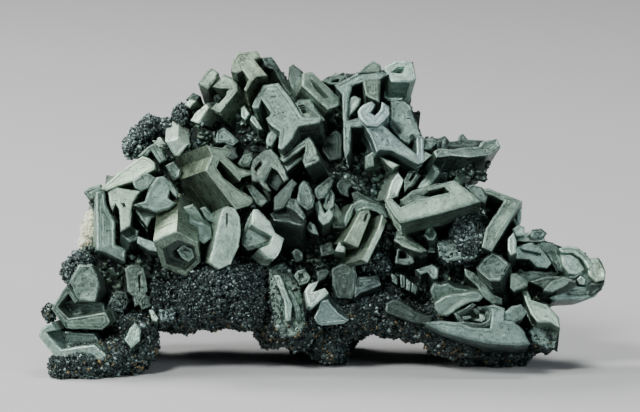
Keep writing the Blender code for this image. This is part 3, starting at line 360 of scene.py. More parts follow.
# Column, row, depth and width in mm.
backCrystals = [
    (218, 114, 10, 9), (254, 98, 10, 10), (302, 108, 12, 11), (344, 112, 13, 10), (386, 100, 11, 11),
    (166, 152, 9, 9), (204, 144, 14, 11), (252, 144, 17, 12), (304, 150, 17, 12), (352, 150, 17, 12),
    (388, 136, 12, 9), (456, 170, 3, 7), (120, 205, 11, 10), (158, 194, 16, 12), (210, 190, 19, 13),
    (264, 194, 21, 13), (318, 196, 21, 13), (372, 194, 19, 12), (424, 208, 17, 12), (472, 214, 12, 11),
    (114, 248, 15, 11), (166, 244, 19, 13), (222, 244, 22, 13), (282, 244, 23, 13), (342, 244, 22, 13),
    (400, 250, 20, 13), (456, 256, 16, 12), (506, 252, 10, 9), (560, 266, 2, 8), (104, 290, 14, 10),
    (156, 290, 18, 11), (216, 286, 20, 12), (290, 288, 20, 11), (362, 290, 20, 12), (428, 292, 17, 12),
    (486, 290, 13, 10),
]

# They fan out from a place in the middle, given in squares.
backStyle = {
    "seed": 7, "length": 11,            # mm
    "middle": (322, 215), "spread": (250, 130), "scatter": .22, "size": (.95, 1.2),
    "hollowed": ("block", "hexagon", "slab"), "hollowShare": .52, "hollowDepth": .16,
}

# Which crystals stand out from the common grey-green: warm and blue tints and druse coating, while the pale to
# black lists are painted light and shade that brighten or darken whole crystals, and the shadowed ones get
# deeper painted shade on their downward walls.
finishesAndPaintedLight = {
    "warm": ("crown", "capLeft", "hookLeft", "chipLeft", "bladeLeft", "bookLeft", "bookRight",
        "whiteSlab", "table", "greatBlock", "hexagon", "skullLobe"),
    "blue": ("fanShell", "blueRoof", "heart", "brightHook", "greatWedge", "frostedCube"),
    "pale": ("chipLeft", "bladeLeft", "brightBlade", "upperGrey", "wedgeKeel", "whiteChip", "prismBand",
        "heart"),
    "white": ("curlInner", "brightHook", "sliverLeft", "lowerBox", "tallPrism", "heel", "coatedBlade",
        "bookRight", "gateLobe", "shelfRim", "bookFoot", "whitePost", "whiteKnob", "claspRoot",
        "layersTop", "shelfWedge", "skullBrow", "skullCheek", "skullLobe", "skullTooth", "clasp",
        "greatWedge"),
    "bright": ("sliverRight", "whiteSlab", "whiteTab", "baseSlab", "cup", "curledSlab", "tallLeft",
        "bookLeft", "bookRoof", "hexagonShoulder", "slottedTablet", "bookEnd", "fanShell", "leaf",
        "darkPillar", "hexagonLobes", "longFrame", "layers", "diagonalFoot", "skull"),
    "dim": ("coatedSliver", "layersTip", "slabBack", "hexagonCore", "tent", "gateRoof", "stripeC",
        "leftLip", "bigHexagon", "greyDome", "gateTongue", "greyCube", "blockRung", "ledgeBlade",
        "longBlade", "lowerFloor", "skullJaw", "bigCube", "shelfTab", "hexagon", "ridgeLeft",
        "wedgeUnder"),
    "dark": ("curlSlant", "stripeA", "stripeB", "maze", "cleftLeft", "basket", "curlOuter", "jaw",
        "stripeD", "roofRight", "postLeft", "diagonalWing", "cleftBlade", "crownBlade", "midScrap",
        "aFrame", "gable", "frameTab", "frontLap", "neck", "armNotch", "greyLobe", "farShelf",
        "frameFiller", "shelfBack", "boxFloor", "blueRoof", "prismRight"),
    "black": ("darkCube", "darkPrism", "fanBits", "peakLeft", "linedDome", "lowerSheets", "darkBlock",
        "stub", "ringHigh", "roofLeft", "gablePanel", "knuckle", "greyBlock", "roofSlab", "curlTop",
        "chipUpper", "blockTop", "armFacet", "skullChin"),
    "coated": ("frostedWedge", "coatedColumn", "frostedCube", "heelBase", "darkBlock"),
    "shadowed": ("shelfRim", "hexagon", "skull"),
}
# Painted light and shade: how far each list raises or lowers the tone of a whole crystal.
paintedLightTones = {"pale": .95, "white": .55, "bright": .25, "dim": -.15, "dark": -.30, "black": -.62}

paintStyle = {
    "tone": (.43, .57), "warmth": (.3, .6), "tint": .4,
    "cap": .9,                          # mm behind the face, where the rim stops counting
    "wall": .25,                        # mm behind the face, where its walls start
    "lit": (-.65, -.25, .72), "paintedHighlight": .35, "paintedHighlightWarmth": .35,       # painted highlight, warmer too, on walls that face up to the left
    "paintedUndersideShade": -.45, "shadow": 2,       # painted shade on walls that face down, and how much more on shadowed crystals
}

crystalStyle = {
    "root": 3,                          # mm that each crystal runs on into the cluster
    "rootShrink": .94,
    "stagger": .03, "staggered": 9,     # mm from one face to the next, so that no two share a plane
    "cornerSpacing": .9,                # mm
    "waver": .045,                      # mm, how far a long edge wanders
    "layer": (.7, 1.7), "leastLayer": .3,       # mm, thickness of one growth layer
    "drift": .012,                      # share by which one layer is narrower than the next
    "ledge": .35, "ledgeShare": .985,   # chance of a ledge between two layers, and its size
    "roundings": ((.05, .12), (.10, .10), (.15, .06)),  # mm in and mm forward, from the side to the face
    "terraces": (                       # a flat face, one with a raised rim, stepped ones
        (), ((.25, 0), (.15, -.08)), ((.18, 0), (.12, -.06), (.3, 0), (.12, -.06)),
        ((.3, 0), (.15, -.09), (.25, 0), (.12, -.06), (.25, 0), (.1, -.04)),
    ),
    "roomShare": .3,                    # of the width of the face at each corner, the most a step takes
    "sharpest": .2, "furthest": 1.5,    # limits where two edges meet at a point
    "turnsBack": .02, "leastMove": .02,
}

hollowStyle = {
    "step": .6, "stepShare": .86,       # mm down to each step, and how much of the hollow it leaves
    "over": .5,                         # mm that the cut starts in front of the face
    "leaves": (.4, .999),               # share of the crystal that a sound cut leaves
}
tiny = 1e-7                             # m


def faceLoop(outline, depth, lean):
    away = math.sqrt(1 - lean[0] ** 2 - lean[1] ** 2)
    midColumn = sum(column for column, row in outline) / len(outline)
    midRow = sum(row for column, row in outline) / len(outline)
    loop = []
    for column, row in outline:
        rise = (lean[0] * (column - midColumn) - lean[1] * (row - midRow)) * layout["square"] / away
        loop.append(gridPoint(column, row, depth - rise))
    return loop, viewVector(lean[0], lean[1], away)


def loopNormal(loop):
    total = Vector()
    for here, there in zip(loop, loop[1:] + loop[:1]):
        total += here.cross(there)
    return total


def spacedCorners(rim, axis):
    corners = []
    waver = crystalStyle["waver"] * mm
    for here, there in zip(rim, rim[1:] + rim[:1]):
        edge = there - here
        count = max(1, round(edge.length / (crystalStyle["cornerSpacing"] * mm)))
        for step in range(count):
            spot = here + edge * step / count
            if step:
                shift = Vector(chance.uniform(-waver, waver, 3))
                spot += shift - axis * shift.dot(axis)
            corners.append(spot)
    return corners


def startLoop(name, corners):
    bpy.ops.object.select_all(action="DESELECT")
    bpy.ops.mesh.primitive_circle_add(vertices=len(corners), radius=mm, fill_type="NGON")
    made = bpy.context.object
    made.name = name
    for vert, corner in zip(made.data.vertices, corners):
        vert.co = corner
    bpy.ops.object.mode_set(mode="EDIT")
    bpy.ops.mesh.select_all(action="SELECT")
    return made


def pushCap(way, share, middle):
    bpy.ops.mesh.extrude_region_move(TRANSFORM_OT_translate={"value": way})
    if share != 1:
        bpy.ops.transform.resize(value=(share, share, share), center_override=middle)


def stepCap(share, middle):
    pushCap(Vector(), share, middle)


def widthAt(corners, index, way, normal):
    start = corners[index]
    nearest = 1.0
    across = normal.cross(way)
    for here, there in zip(corners, corners[1:] + corners[:1]):
        before, after = (here - start).dot(across), (there - start).dot(across)
        if before * after > 0 or here is start or there is start:
            continue
        share = before / (before - after) if before != after else 0
        far = (here + (there - here) * share - start).dot(way)
        if tiny < far < nearest:
            nearest = far
    return nearest


def crosses(corners, normal):
    side = normal.orthogonal().normalized()
    upward = normal.cross(side)
    starts = np.array([(corner.dot(side), corner.dot(upward)) for corner in corners])
    ends = np.roll(starts, -1, axis=0)

    def turn(first, second, third):
        edge, reach = second - first, third - first
        return edge[..., 0] * reach[..., 1] - edge[..., 1] * reach[..., 0]

    here, there, start, end = starts[:, None], ends[:, None], starts[None], ends[None]
    return ((turn(here, there, start) * turn(here, there, end) < 0)
            & (turn(start, end, here) * turn(start, end, there) < 0)).any()


def insetCap(made, inward, forward):
    stepCap(1, None)
    mesh = bmesh.from_edit_mesh(made.data)
    cap = next(face for face in mesh.faces if face.select)
    cap.normal_update()
    normal = cap.normal.copy()
    verts = list(cap.verts)
    corners = [vert.co.copy() for vert in verts]
    moves = []
    for index, corner in enumerate(corners):
        before = (corner - corners[index - 1]).normalized()
        after = (corners[(index + 1) % len(corners)] - corner).normalized()
        way = normal.cross(before) + normal.cross(after)
        if way.length < crystalStyle["turnsBack"]:
            way = after - before
        way.normalize()
        spread = max(crystalStyle["sharpest"], way.dot(normal.cross(after)))
        reach = min(crystalStyle["furthest"], 1 / spread) * inward
        moves.append(way * min(reach, crystalStyle["roomShare"] * widthAt(corners, index, way, normal)))
    share = 1.0                         # halved until the narrow arms of the face stay open
    while share > crystalStyle["leastMove"] and crosses(
            [corner + move * share for corner, move in zip(corners, moves)], normal):
        share /= 2
    for vert, move in zip(verts, moves):
        vert.co += move * share + normal * forward
    bmesh.update_edit_mesh(made.data)


def sampleCap():
    bpy.ops.mesh.quads_convert_to_tris(ngon_method="BEAUTY")
    for _ in range(2):
        bpy.ops.mesh.subdivide(number_cuts=1)


def volumeOf(mesh):
    solid = bmesh.new()
    solid.from_mesh(mesh)
    volume = solid.calc_volume(signed=True)
    solid.free()
    return volume


def endLoop(made):
    bpy.ops.mesh.select_all(action="SELECT")
    bpy.ops.mesh.normals_make_consistent(inside=False)
    bpy.ops.object.mode_set(mode="OBJECT")
    if volumeOf(made.data) < 0:
        made.data.flip_normals()
    return made


def growCrystal(name, rim, axis, length, hollows=()):
    style = crystalStyle
    middle = sum(rim, Vector()) / len(rim)
    corners = spacedCorners(rim, axis)
    if loopNormal(corners).dot(axis) > 0:
        corners.reverse()
    rounding = sum(forward for inward, forward in style["roundings"]) * mm
    length = length * mm
    share = style["rootShrink"]
    made = startLoop(name, [middle + (corner - middle) * share + axis * length for corner in corners])
    reached = length                    # laid in layers from the root to the face
    while reached > rounding + tiny:
        rise = min(chance.uniform(*style["layer"]) * mm, reached - rounding)
        if reached - rise < rounding + style["leastLayer"] * mm:
            rise = reached - rounding
        reached -= rise
        at = middle + axis * reached
        wanted = 1 - (1 - style["rootShrink"]) * reached / length
        if reached > rounding + tiny:
            wanted *= 1 - chance.uniform(0, style["drift"])
        pushCap(-axis * rise, wanted / share, at)
        share = wanted
        if reached > rounding + tiny and chance.random() < style["ledge"]:
            stepCap(style["ledgeShare"], at)
            share *= style["ledgeShare"]
    terraces = style["terraces"][0 if hollows else chance.integers(len(style["terraces"]))]
    for inward, forward in style["roundings"] + terraces:
        insetCap(made, inward * mm, forward * mm)
    sampleCap()
    endLoop(made)
    for deep, hollow in hollows:
        cutHollow(made, hollow, axis, deep * mm)
    paintGrowth(made, rim, axis, middle)
    return made


def selectOnly(made):
    bpy.ops.object.select_all(action="DESELECT")
    made.select_set(True)
    bpy.context.view_layer.objects.active = made


def cutHollow(made, rim, axis, deep):
    style = hollowStyle
    corners = list(rim)
    if loopNormal(corners).dot(axis) < 0:
        corners.reverse()
    middle = sum(corners, Vector()) / len(corners)
    steps = max(2, round(deep / (style["step"] * mm)))
    tool = startLoop("hollowTool", [corner - axis * style["over"] * mm for corner in corners])
    pushCap(axis * (style["over"] * mm + deep / steps), 1, middle)
    for step in range(1, steps):
        stepCap(style["stepShare"], middle + axis * deep * step / steps)
        pushCap(axis * deep / steps, 1, middle)
    endLoop(tool)
    selectOnly(made)
    whole = made.data.copy()
    least, most = (share * volumeOf(whole) for share in style["leaves"])
    for solver, crossing in (("EXACT", False), ("EXACT", True), ("FAST", False)):
        cut = made.modifiers.new("hollow", "BOOLEAN")
        cut.operation, cut.solver, cut.use_self, cut.object = "DIFFERENCE", solver, crossing, tool
        bpy.ops.object.modifier_apply(modifier="hollow")
        if least < abs(volumeOf(made.data)) < most:
            break
        made.data = whole.copy()        # a cut that failed is undone and tried the next way
    bpy.data.objects.remove(tool)


def vectorsOf(items, label):
    values = np.empty(len(items) * 3)
    items.foreach_get(label, values)
    return values.reshape(-1, 3)


def storeValues(mesh, domain, **layers):
    count = len(mesh.vertices if domain == "POINT" else mesh.polygons)
    for label, values in layers.items():
        layer = mesh.attributes.new(label, "FLOAT", domain)
        layer.data.foreach_set("value", np.array(np.broadcast_to(values, count), dtype=np.float32))


def paintGrowth(made, rim, axis, middle):
    style = paintStyle
    mesh = made.data
    spots = vectorsOf(mesh.vertices, "co")
    middle, axis = np.array(middle), np.array(axis)
    away = (spots - middle) @ axis
    starts = np.array([list(point) for point in rim])
    edges = np.roll(starts, -1, axis=0) - starts
    offsets = (spots - away[:, None] * axis)[:, None] - starts[None]
    along = np.clip((offsets * edges[None]).sum(2) / (edges ** 2).sum(1)[None], 0, 1)
    inward = np.linalg.norm(offsets - along[..., None] * edges[None], axis=2).min(1)
    growth = np.where(away < style["cap"] * mm, inward, 0) + np.maximum(away, 0)
    tone, warmth = chance.uniform(*style["tone"]), chance.uniform(*style["warmth"])
    plain = made.name.split(".")[0]
    # painted light and shade for the whole crystal, from the pale to black lists
    tone += sum(shift for finish, shift in paintedLightTones.items() if plain in finishesAndPaintedLight[finish])
    warmth += style["tint"] * (plain in finishesAndPaintedLight["warm"]) - style["tint"] * (plain in finishesAndPaintedLight["blue"])
    storeValues(mesh, "POINT", growth=growth, seed=chance.random())

    # Walls facing up to the left get a painted highlight; walls facing down get painted shade, deeper on the
    # shadowed crystals.
    ways = vectorsOf(mesh.polygons, "normal")
    wall = (vectorsOf(mesh.polygons, "center") - middle) @ axis > style["wall"] * mm
    lit = wall * np.clip(ways @ np.array(style["lit"]), 0, 1) ** 2
    under = wall * np.clip(-ways[:, 2], 0, 1) * (1 + style["shadow"] * (plain in finishesAndPaintedLight["shadowed"]))
    storeValues(mesh, "FACE", tone=tone + style["paintedHighlight"] * lit + style["paintedUndersideShade"] * under,
                warmth=warmth + style["paintedHighlightWarmth"] * lit)


def growFront(table):
    grown = []
    for index, (name, (depth, lean, length, outline, *hollows)) in enumerate(table.items()):
        depth += crystalStyle["stagger"] * (index % crystalStyle["staggered"])
        rim, axis = faceLoop(outline, depth, lean)
        middle = sum(rim, Vector()) / len(rim)
        pits = []
        for deep, hollow in hollows:
            pit, _ = faceLoop(hollow, depth, lean)
            pits.append((deep, [point - axis * (point - middle).dot(axis) for point in pit]))
        grown.append(growCrystal(name, rim, axis, length + crystalStyle["root"], pits))
    return grown


def growBack():
    style = backStyle
    dice = np.random.default_rng(style["seed"])
    kinds = list(hopperShapes)
    grown = []
    for index, (column, row, depth, width) in enumerate(backCrystals):
        kind = kinds[index % len(kinds)]
        out = viewVector((column - style["middle"][0]) / style["spread"][0],
                         (style["middle"][1] - row) / style["spread"][1], 1)
        out = (out + Vector(dice.uniform(-style["scatter"], style["scatter"], 3))).normalized()
        side = out.orthogonal().normalized()
        turn = dice.uniform(0, math.tau)
        across = side * math.cos(turn) + out.cross(side) * math.sin(turn)
        upward = out.cross(across)
        size = width * dice.uniform(*style["size"]) * mm
        middle = gridPoint(column, row, depth)
        rim = [middle + (across * x + upward * y) * size for x, y in hopperShapes[kind]]
        pits = []
        if kind in style["hollowed"]:
            pit = [middle + (point - middle) * style["hollowShare"] for point in rim]
            pits = [(style["hollowDepth"] * width, pit)]
        grown.append(growCrystal("back%02d" % index, rim, -out, style["length"], pits))
    return grown


# Blocky crystals inside the cluster: column, row, depth, (width, height, thickness), turn in degrees.
coreBlocks = [
    (150, 235, 4, (20, 18, 20), 12), (116, 287, 1, (13, 14, 18), -8), (98, 327, -3, (13, 10, 16), 10),
    (180, 180, 3, (14, 13, 18), 40), (222, 195, 3, (20, 22, 20), -22), (228, 128, 4, (13, 12, 13), 35),
    (268, 124, 3, (13, 15, 14), 24), (322, 122, 4, (18, 12, 13), -12), (300, 165, 4, (20, 16, 18), 10),
    (374, 110, 3, (13, 14, 11), 8), (366, 152, 5, (20, 18, 15), -6), (452, 162, 0, (13, 6, 10), -6),
    (325, 215, 3, (26, 20, 22), 15), (402, 218, 3, (25, 17, 20), -10), (460, 228, 1, (18, 15, 16), -16),
    (270, 255, 4, (24, 18, 20), 4), (362, 265, 2, (26, 16, 21), 8), (442, 272, 1, (24, 15, 18), -4),
    (502, 266, -2, (17, 11, 14), 10), (552, 270, -5, (13, 6, 10), 3), (210, 262, 2, (22, 14, 20), -6),
    (518, 296, -5, (8, 6, 8), 5), (526, 324, -6, (6, 7, 8), -5), (538, 293, -6, (4.8, 5, 8), 0),
]
coreStyle = {"shrink": .9}


def growCore():
    axis = viewVector(0, 0, 1)
    shrink = coreStyle["shrink"]
    grown = []
    for index, (column, row, depth, (width, height, thickness), turn) in enumerate(coreBlocks):
        angle = math.radians(turn)
        corners = []
        for x, y in ((-.5, -.5), (.5, -.5), (.5, .5), (-.5, .5)):
            right = x * width * math.cos(angle) - y * height * math.sin(angle)
            up = x * width * math.sin(angle) + y * height * math.cos(angle)
            corners.append(gridPoint(column + right / layout["square"], row - up / layout["square"],
                                     depth - thickness / 2))
        if loopNormal(corners).dot(axis) > 0:
            corners.reverse()
        middle = sum(corners, Vector()) / 4
        back = middle + axis * thickness * mm
        made = startLoop("core%02d" % index, [back + (corner - middle) * shrink for corner in corners])
        pushCap(-axis * thickness * mm, 1 / shrink, middle)
        grown.append(endLoop(made))
    return grown


# Rounded lumps of druse and calcite: column, row, depth, (half width, half height, half thickness).
druseLumps = [
    # left foot, front and back
    (68, 366, -17, (3.6, 3.2, 6)), (88, 361, -15, (6, 4.4, 8)), (112, 356, -13, (6.4, 4.8, 9)),
    (136, 340, -11, (4.6, 6.4, 8)), (132, 362, -13, (2.6, 3.2, 5)), (92, 334, 9, (6, 7, 7)),
    (71, 271, -9, (1.6, 2.4, 4)), (83, 259, -8, (2.4, 1.8, 4)), (51, 312, -12, (1.2, 1.8, 4)),
    (120, 332, 11, (6.4, 7.4, 8)), (106, 312, 6, (7, 6, 9)),
    # hanging band from the left foot to the middle foot
    (162, 304, -7, (5, 5, 8)), (186, 308, -8, (6, 5, 8)), (214, 298, -9, (8, 6, 8)),
    (246, 304, -9, (6, 5.2, 8)), (222, 280, -11, (10, 6, 8)), (205, 292, 7, (14, 7, 10)),
    # middle foot, front and back
    (272, 306, -6, (4.2, 9, 8)), (294, 322, -7, (6.6, 5, 8)), (328, 334, -3, (4.6, 7, 7)),
    (334, 352, -1, (3, 3.6, 4)), (310, 328, 12, (6, 7.4, 7)), (332, 322, 15, (6, 8.4, 7)),
    (264, 296, 9, (9, 6.4, 9)),
    # band from the middle foot to the right foot
    (356, 308, -6, (8, 6, 8)), (392, 308, -6, (9, 6, 8)), (422, 320, -7, (8, 4.4, 7)),
    # right foot, front and back
    (452, 334, -7, (7, 4.4, 7)), (474, 342, -2, (6, 5.2, 7)), (503, 345, -3, (7, 5, 7)),
    (456, 328, 13, (6.4, 8, 7)), (482, 330, 10, (6.4, 7, 8)), (404, 299, 8, (11, 6, 9)),
    (446, 304, 8, (9, 5.4, 9)),
    # crust between the crystals of the right and the middle
    (470, 236, -10, (4.6, 6.4, 6)), (376, 262, -8, (3.6, 2.8, 5)),
    # outcrop at the upper left
    (130, 147, -1, (1.2, 2.2, 4)), (138, 139, -1, (2.0, 2.4, 4)), (142, 149, -1, (2.6, 2.0, 4)),
    (150, 128, -1, (2.4, 2.4, 5)), (166, 127, 0, (3.2, 1.7, 5)), (182, 117, 0, (1.9, 2.6, 5)),
]

calciteLumps = [(93, 220, -3, (1.6, 2, 3)), (91, 231, -3, (1.9, 2.2, 3)), (87, 243, -2, (1.7, 2, 3))]
lumpStyle = {
    "subdivisions": 4, "share": .96,
    "broad": .2, "broadScale": 1.7,     # share of the radius; to the radius
    "lobes": .2, "lobeScale": .8,       # share of the radius; to the mm
    "fine": .6, "fineScale": 2.3,       # of the lobes
    "lowered": .2, "highest": .3,
    "margin": .5,                       # mm inside the frame's box
    "shade": (.05, .3), "growth": .6,   # growth in mm, as for the grains
}


def growLump(name, place):
    style = lumpStyle
    column, row, depth, (wide, high, thick) = place
    middle = gridPoint(column, row, depth)
    bpy.ops.object.select_all(action="DESELECT")
    bpy.ops.mesh.primitive_ico_sphere_add(subdivisions=style["subdivisions"], radius=1)
    made = bpy.context.object
    made.name = name
    radii = Vector((wide, thick, high)) * mm
    margin = style["margin"] * mm
    for vert in made.data.vertices:
        way = vert.co.normalized()
        broad = 1 + style["broad"] * noise.noise(way * style["broadScale"] + middle / mm)
        spot = (middle + Vector(way[i] * radii[i] for i in range(3))) / mm * style["lobeScale"]
        lobes = noise.noise(spot) + style["fine"] * noise.noise(spot * style["fineScale"])
        share = broad * style["share"] * (1 + style["lobes"] * min(style["highest"], lobes - style["lowered"]))
        vert.co = middle + Vector(way[i] * radii[i] * share for i in range(3))
        for i in range(3):
            low, high = cadBox[0][i] + margin * (i < 2), cadBox[1][i] - margin
            vert.co[i] = min(max(vert.co[i], low), high)
    return made


def joined(name, parts):
    selectOnly(parts[0])
    for part in parts:
        part.select_set(True)
    bpy.ops.object.join()
    made = bpy.context.object
    made.name = made.data.name = name
    return made


def trianglesOf(made):
    mesh = made.data
    mesh.calc_loop_triangles()
    corners = np.empty(len(mesh.loop_triangles) * 3, dtype=np.int64)
    mesh.loop_triangles.foreach_get("vertices", corners)
    return vectorsOf(mesh.vertices, "co"), corners.reshape(-1, 3)


def surfaceTree(parts):
    spots, corners, start = [], [], 0
    for part in parts:
        some, faces = trianglesOf(part)
        spots.append(some)
        corners.append(faces + start)
        start += len(some)
    return BVHTree.FromPolygons(np.concatenate(spots).tolist(), np.concatenate(corners).tolist())


spotStyle = {"off": .04, "look": 8, "buried": .25}      # mm


def spotsOn(made, perSquareMm, tree):
    spots, corners = trianglesOf(made)
    a, b, c = (spots[corners[:, i]] for i in range(3))
    across = np.cross(b - a, c - a)
    areas = np.linalg.norm(across, axis=1) / 2
    count = int(areas.sum() / mm ** 2 * perSquareMm)
    picks = chance.choice(len(areas), count, p=areas / areas.sum())
    u, v = chance.random(count), chance.random(count)
    over = u + v > 1
    u[over], v[over] = 1 - u[over], 1 - v[over]
    found = a[picks] + (b - a)[picks] * u[:, None] + (c - a)[picks] * v[:, None]
    ways = across[picks] / (2 * areas[picks][:, None])
    kept = []
    for spot, way in zip(found, ways):
        start = Vector(spot) + Vector(way) * spotStyle["off"] * mm
        hit, normal, _, far = tree.ray_cast(start, Vector(way), spotStyle["look"] * mm)
        if hit is None or (normal.dot(Vector(way)) <= 0 and far >= spotStyle["buried"] * mm):
            kept.append((spot, way))
    return kept


def turnsFor(count):
    quats = chance.normal(size=(count, 4))
    quats /= np.linalg.norm(quats, axis=1)[:, None]
    w, x, y, z = quats.T
    rows = [1 - 2 * (y * y + z * z), 2 * (x * y - z * w), 2 * (x * z + y * w),
            2 * (x * y + z * w), 1 - 2 * (x * x + z * z), 2 * (y * z - x * w),
            2 * (x * z - y * w), 2 * (y * z + x * w), 1 - 2 * (x * x + y * y)]
    return np.stack(rows, axis=1).reshape(-1, 3, 3)


def linked(name, data):
    made = bpy.data.objects.new(name, data)
    bpy.context.scene.collection.objects.link(made)
    return made


def copies(name, model, spots, turns, scales, tones):
    base, faces = trianglesOf(model)
    count, size = len(spots), len(base)
    placed = np.einsum("nij,nmj->nmi", turns, base[None] * scales[:, None, :]) + np.asarray(spots)[:, None]
    placed = np.clip(placed, np.array(cadBox[0]), np.array(cadBox[1]))
    corners = (faces[None] + (np.arange(count) * size)[:, None, None]).reshape(-1)
    mesh = bpy.data.meshes.new(name)
    mesh.vertices.add(count * size)
    mesh.vertices.foreach_set("co", placed.reshape(-1))
    mesh.loops.add(len(corners))
    mesh.loops.foreach_set("vertex_index", corners)
    mesh.polygons.add(len(corners) // 3)
    mesh.polygons.foreach_set("loop_start", np.arange(0, len(corners), 3))
    mesh.update(calc_edges=True)
    mesh.validate()
    storeValues(mesh, "POINT", tone=np.repeat(tones, size), seed=np.repeat(chance.random(count), size),
                warmth=np.repeat(chance.random(count), size), growth=lumpStyle["growth"] * mm)
    return linked(name, mesh)


def modelOf(add, shape, bevel=0, **settings):
    bpy.ops.object.select_all(action="DESELECT")
    add(**settings)
    bpy.ops.object.mode_set(mode="EDIT")
    bpy.ops.mesh.select_all(action="SELECT")
    bpy.ops.transform.resize(value=shape)
    if bevel:
        bpy.ops.mesh.bevel(offset=bevel, segments=1)
    return endLoop(bpy.context.object)


# The specimen is grown.
front = growFront(frontCrystals) + growFront(smallCrystals)
print("front crystals", len(front), flush=True)
back = growBack()
print("back crystals", len(back), flush=True)
core = growCore()
druse = [growLump("druse%02d" % index, place) for index, place in enumerate(druseLumps)]
calcite = [growLump("calcite%d" % index, place) for index, place in enumerate(calciteLumps)]
print("core, druse and calcite", len(core), len(druse), len(calcite), flush=True)
for lump in core + druse + calcite:
    storeValues(lump.data, "POINT", growth=lumpStyle["growth"] * mm,
                **{label: chance.uniform(*lumpStyle["shade"]) for label in ("tone", "warmth", "seed")})

# Druse grains: number to a square mm on each ground, and least, usual and greatest size in mm.
paleDruse = ((124, 146, -3), (134, 140, -4), (222, 280, -18), (470, 236, -16), (478, 228, -15),
             (460, 240, -15), (376, 262, -12), (132, 362, -16), (334, 352, -12), (73, 270, -12))
grainStyle = {
    "onDruse": 8, "onCoated": 4, "onCore": .8, "most": 90000, "perPiece": 15000,
    "size": (.28, .50, 1.2), "vary": .35, "stretch": (.75, 1.3), "sunk": .1,
    "tone": (.46, .27), "paler": .2, "paleReach": 4,    # mm
}
rhombStyle = {"perSquareMm": 7, "size": (.3, .9), "stretch": (.8, 1.2)}     # mm

# Small crystals cast into the gaps between the large ones, from above, from the front and from behind.
fillerStyle = {
    "count": 3000, "tries": 90000,
    "fromAbove": .22, "fromFront": .65,     # of all casts, added up
    "columns": (60, 600), "rows": (60, 350), "depths": (-12, 20), "start": 60, "lean": .35,
    "reach": .8,                        # mm from the core
    "bare": ((534, 233), (424, 118), (590, 252), (490, 150), (474, 152), (458, 154)), "bareReach": 2.8,
    "size": (.5, 1.5), "stretch": ((.7, 1.3), (.6, 1.1), (.7, 1.4)),
    # Filler tones are low, painted shade of the deep gaps they sit in; near "shade", under the shelf, painted
    # shade darkens them further.
    "tone": (.08, .22), "shade": (490, 172, 0), "shadeReach": 5, "shelfPaintedShade": .6, "darkest": -.5,
}


def scatterGrains(tree, models):
    style = grainStyle
    coated = [crystal for crystal in front if crystal.name.split(".")[0] in finishesAndPaintedLight["coated"]]
    grounds = (druse, style["onDruse"]), (coated, style["onCoated"]), (core, style["onCore"])
    found = [place for parts, share in grounds for part in parts for place in spotsOn(part, share, tree)]
    print("grain places", len(found), flush=True)
    order = chance.permutation(len(found))[:style["most"]]
    small, usual, large = style["size"]
    sizes = np.clip(chance.lognormal(math.log(usual), style["vary"], len(order)), small, large) * mm
    spots, ways = (np.array([found[i][part] for i in order]) for part in range(2))
    spots += ways * (sizes * style["sunk"])[:, None]
    scales = sizes[:, None] * chance.uniform(*style["stretch"], (len(order), 3))
    tones = chance.normal(*style["tone"], len(order))
    for place in paleDruse:
        reach = np.linalg.norm(spots - np.array(gridPoint(*place)), axis=1) / (style["paleReach"] * mm)
        tones += style["paler"] * np.exp(-reach ** 2)
    tones = np.clip(tones, 0, 1)
    turns = turnsFor(len(order))
    made = []
    for first in range(0, len(order), style["perPiece"]):
        some = slice(first, first + style["perPiece"])
        made.append(copies("druseGrains%d" % len(made), models[len(made) % 2], spots[some], turns[some],
                           scales[some], tones[some]))
    return made


def scatterRhombs(tree, model):
    found = [spot for lump in calcite for spot, way in spotsOn(lump, rhombStyle["perSquareMm"], tree)]
    sizes = chance.uniform(*rhombStyle["size"], len(found)) * mm
    scales = sizes[:, None] * chance.uniform(*rhombStyle["stretch"], (len(found), 3))
    return copies("calciteRhombs", model, found, turnsFor(len(found)), scales, chance.random(len(found)))


def castSpots(tree):
    style = fillerStyle
    rear = surfaceTree(core)
    spots, tries = [], 0
    while len(spots) < style["count"] and tries < style["tries"]:
        tries += 1
        side, column = chance.random(), chance.uniform(*style["columns"])
        if side < style["fromAbove"]:
            start = gridPoint(column, 0, chance.uniform(*style["depths"]))
            right, away = chance.uniform(-style["lean"], style["lean"], 2)
            way = viewVector(right, -1, away).normalized()
        else:
            ahead = 1 if side < style["fromFront"] else -1
            start = gridPoint(column, chance.uniform(*style["rows"]), -ahead * style["start"])
            way = viewVector(*chance.uniform(-style["lean"], style["lean"], 2), ahead).normalized()
        hit = tree.ray_cast(start, way)[0]
        if hit is None:
            continue
        if any((hit - gridPoint(*place, 0)).cross(viewVector(0, 0, 1)).length < style["bareReach"] * mm
               for place in style["bare"]):
            continue                    # these parts of the core stay in sight
        behind = rear.find_nearest(hit)[0]
        if behind is not None and (behind - hit).length <= style["reach"] * mm:
            spots.append(hit)
            chance.random(3)            # passed over, which keeps the order of the draws
    print("filler crystals", len(spots), "of", tries, flush=True)
    return spots


def scatterFillers(tree, model):
    style = fillerStyle
    spots = castSpots(tree)
    sizes = chance.uniform(*style["size"], len(spots)) * mm
    scales = sizes[:, None] * np.stack([chance.uniform(*span, len(spots)) for span in style["stretch"]], axis=1)
    # low tones as painted shade of the gaps, darker still under the shelf
    tones = chance.normal(*style["tone"], len(spots))
    reach = np.linalg.norm(np.array(spots) - np.array(gridPoint(*style["shade"])), axis=1)
    tones -= style["shelfPaintedShade"] * np.exp(-(reach / (style["shadeReach"] * mm)) ** 2)
    tones = np.clip(tones, style["darkest"], 1)
    return copies("fillerCrystals", model, spots, turnsFor(len(spots)), scales, tones)


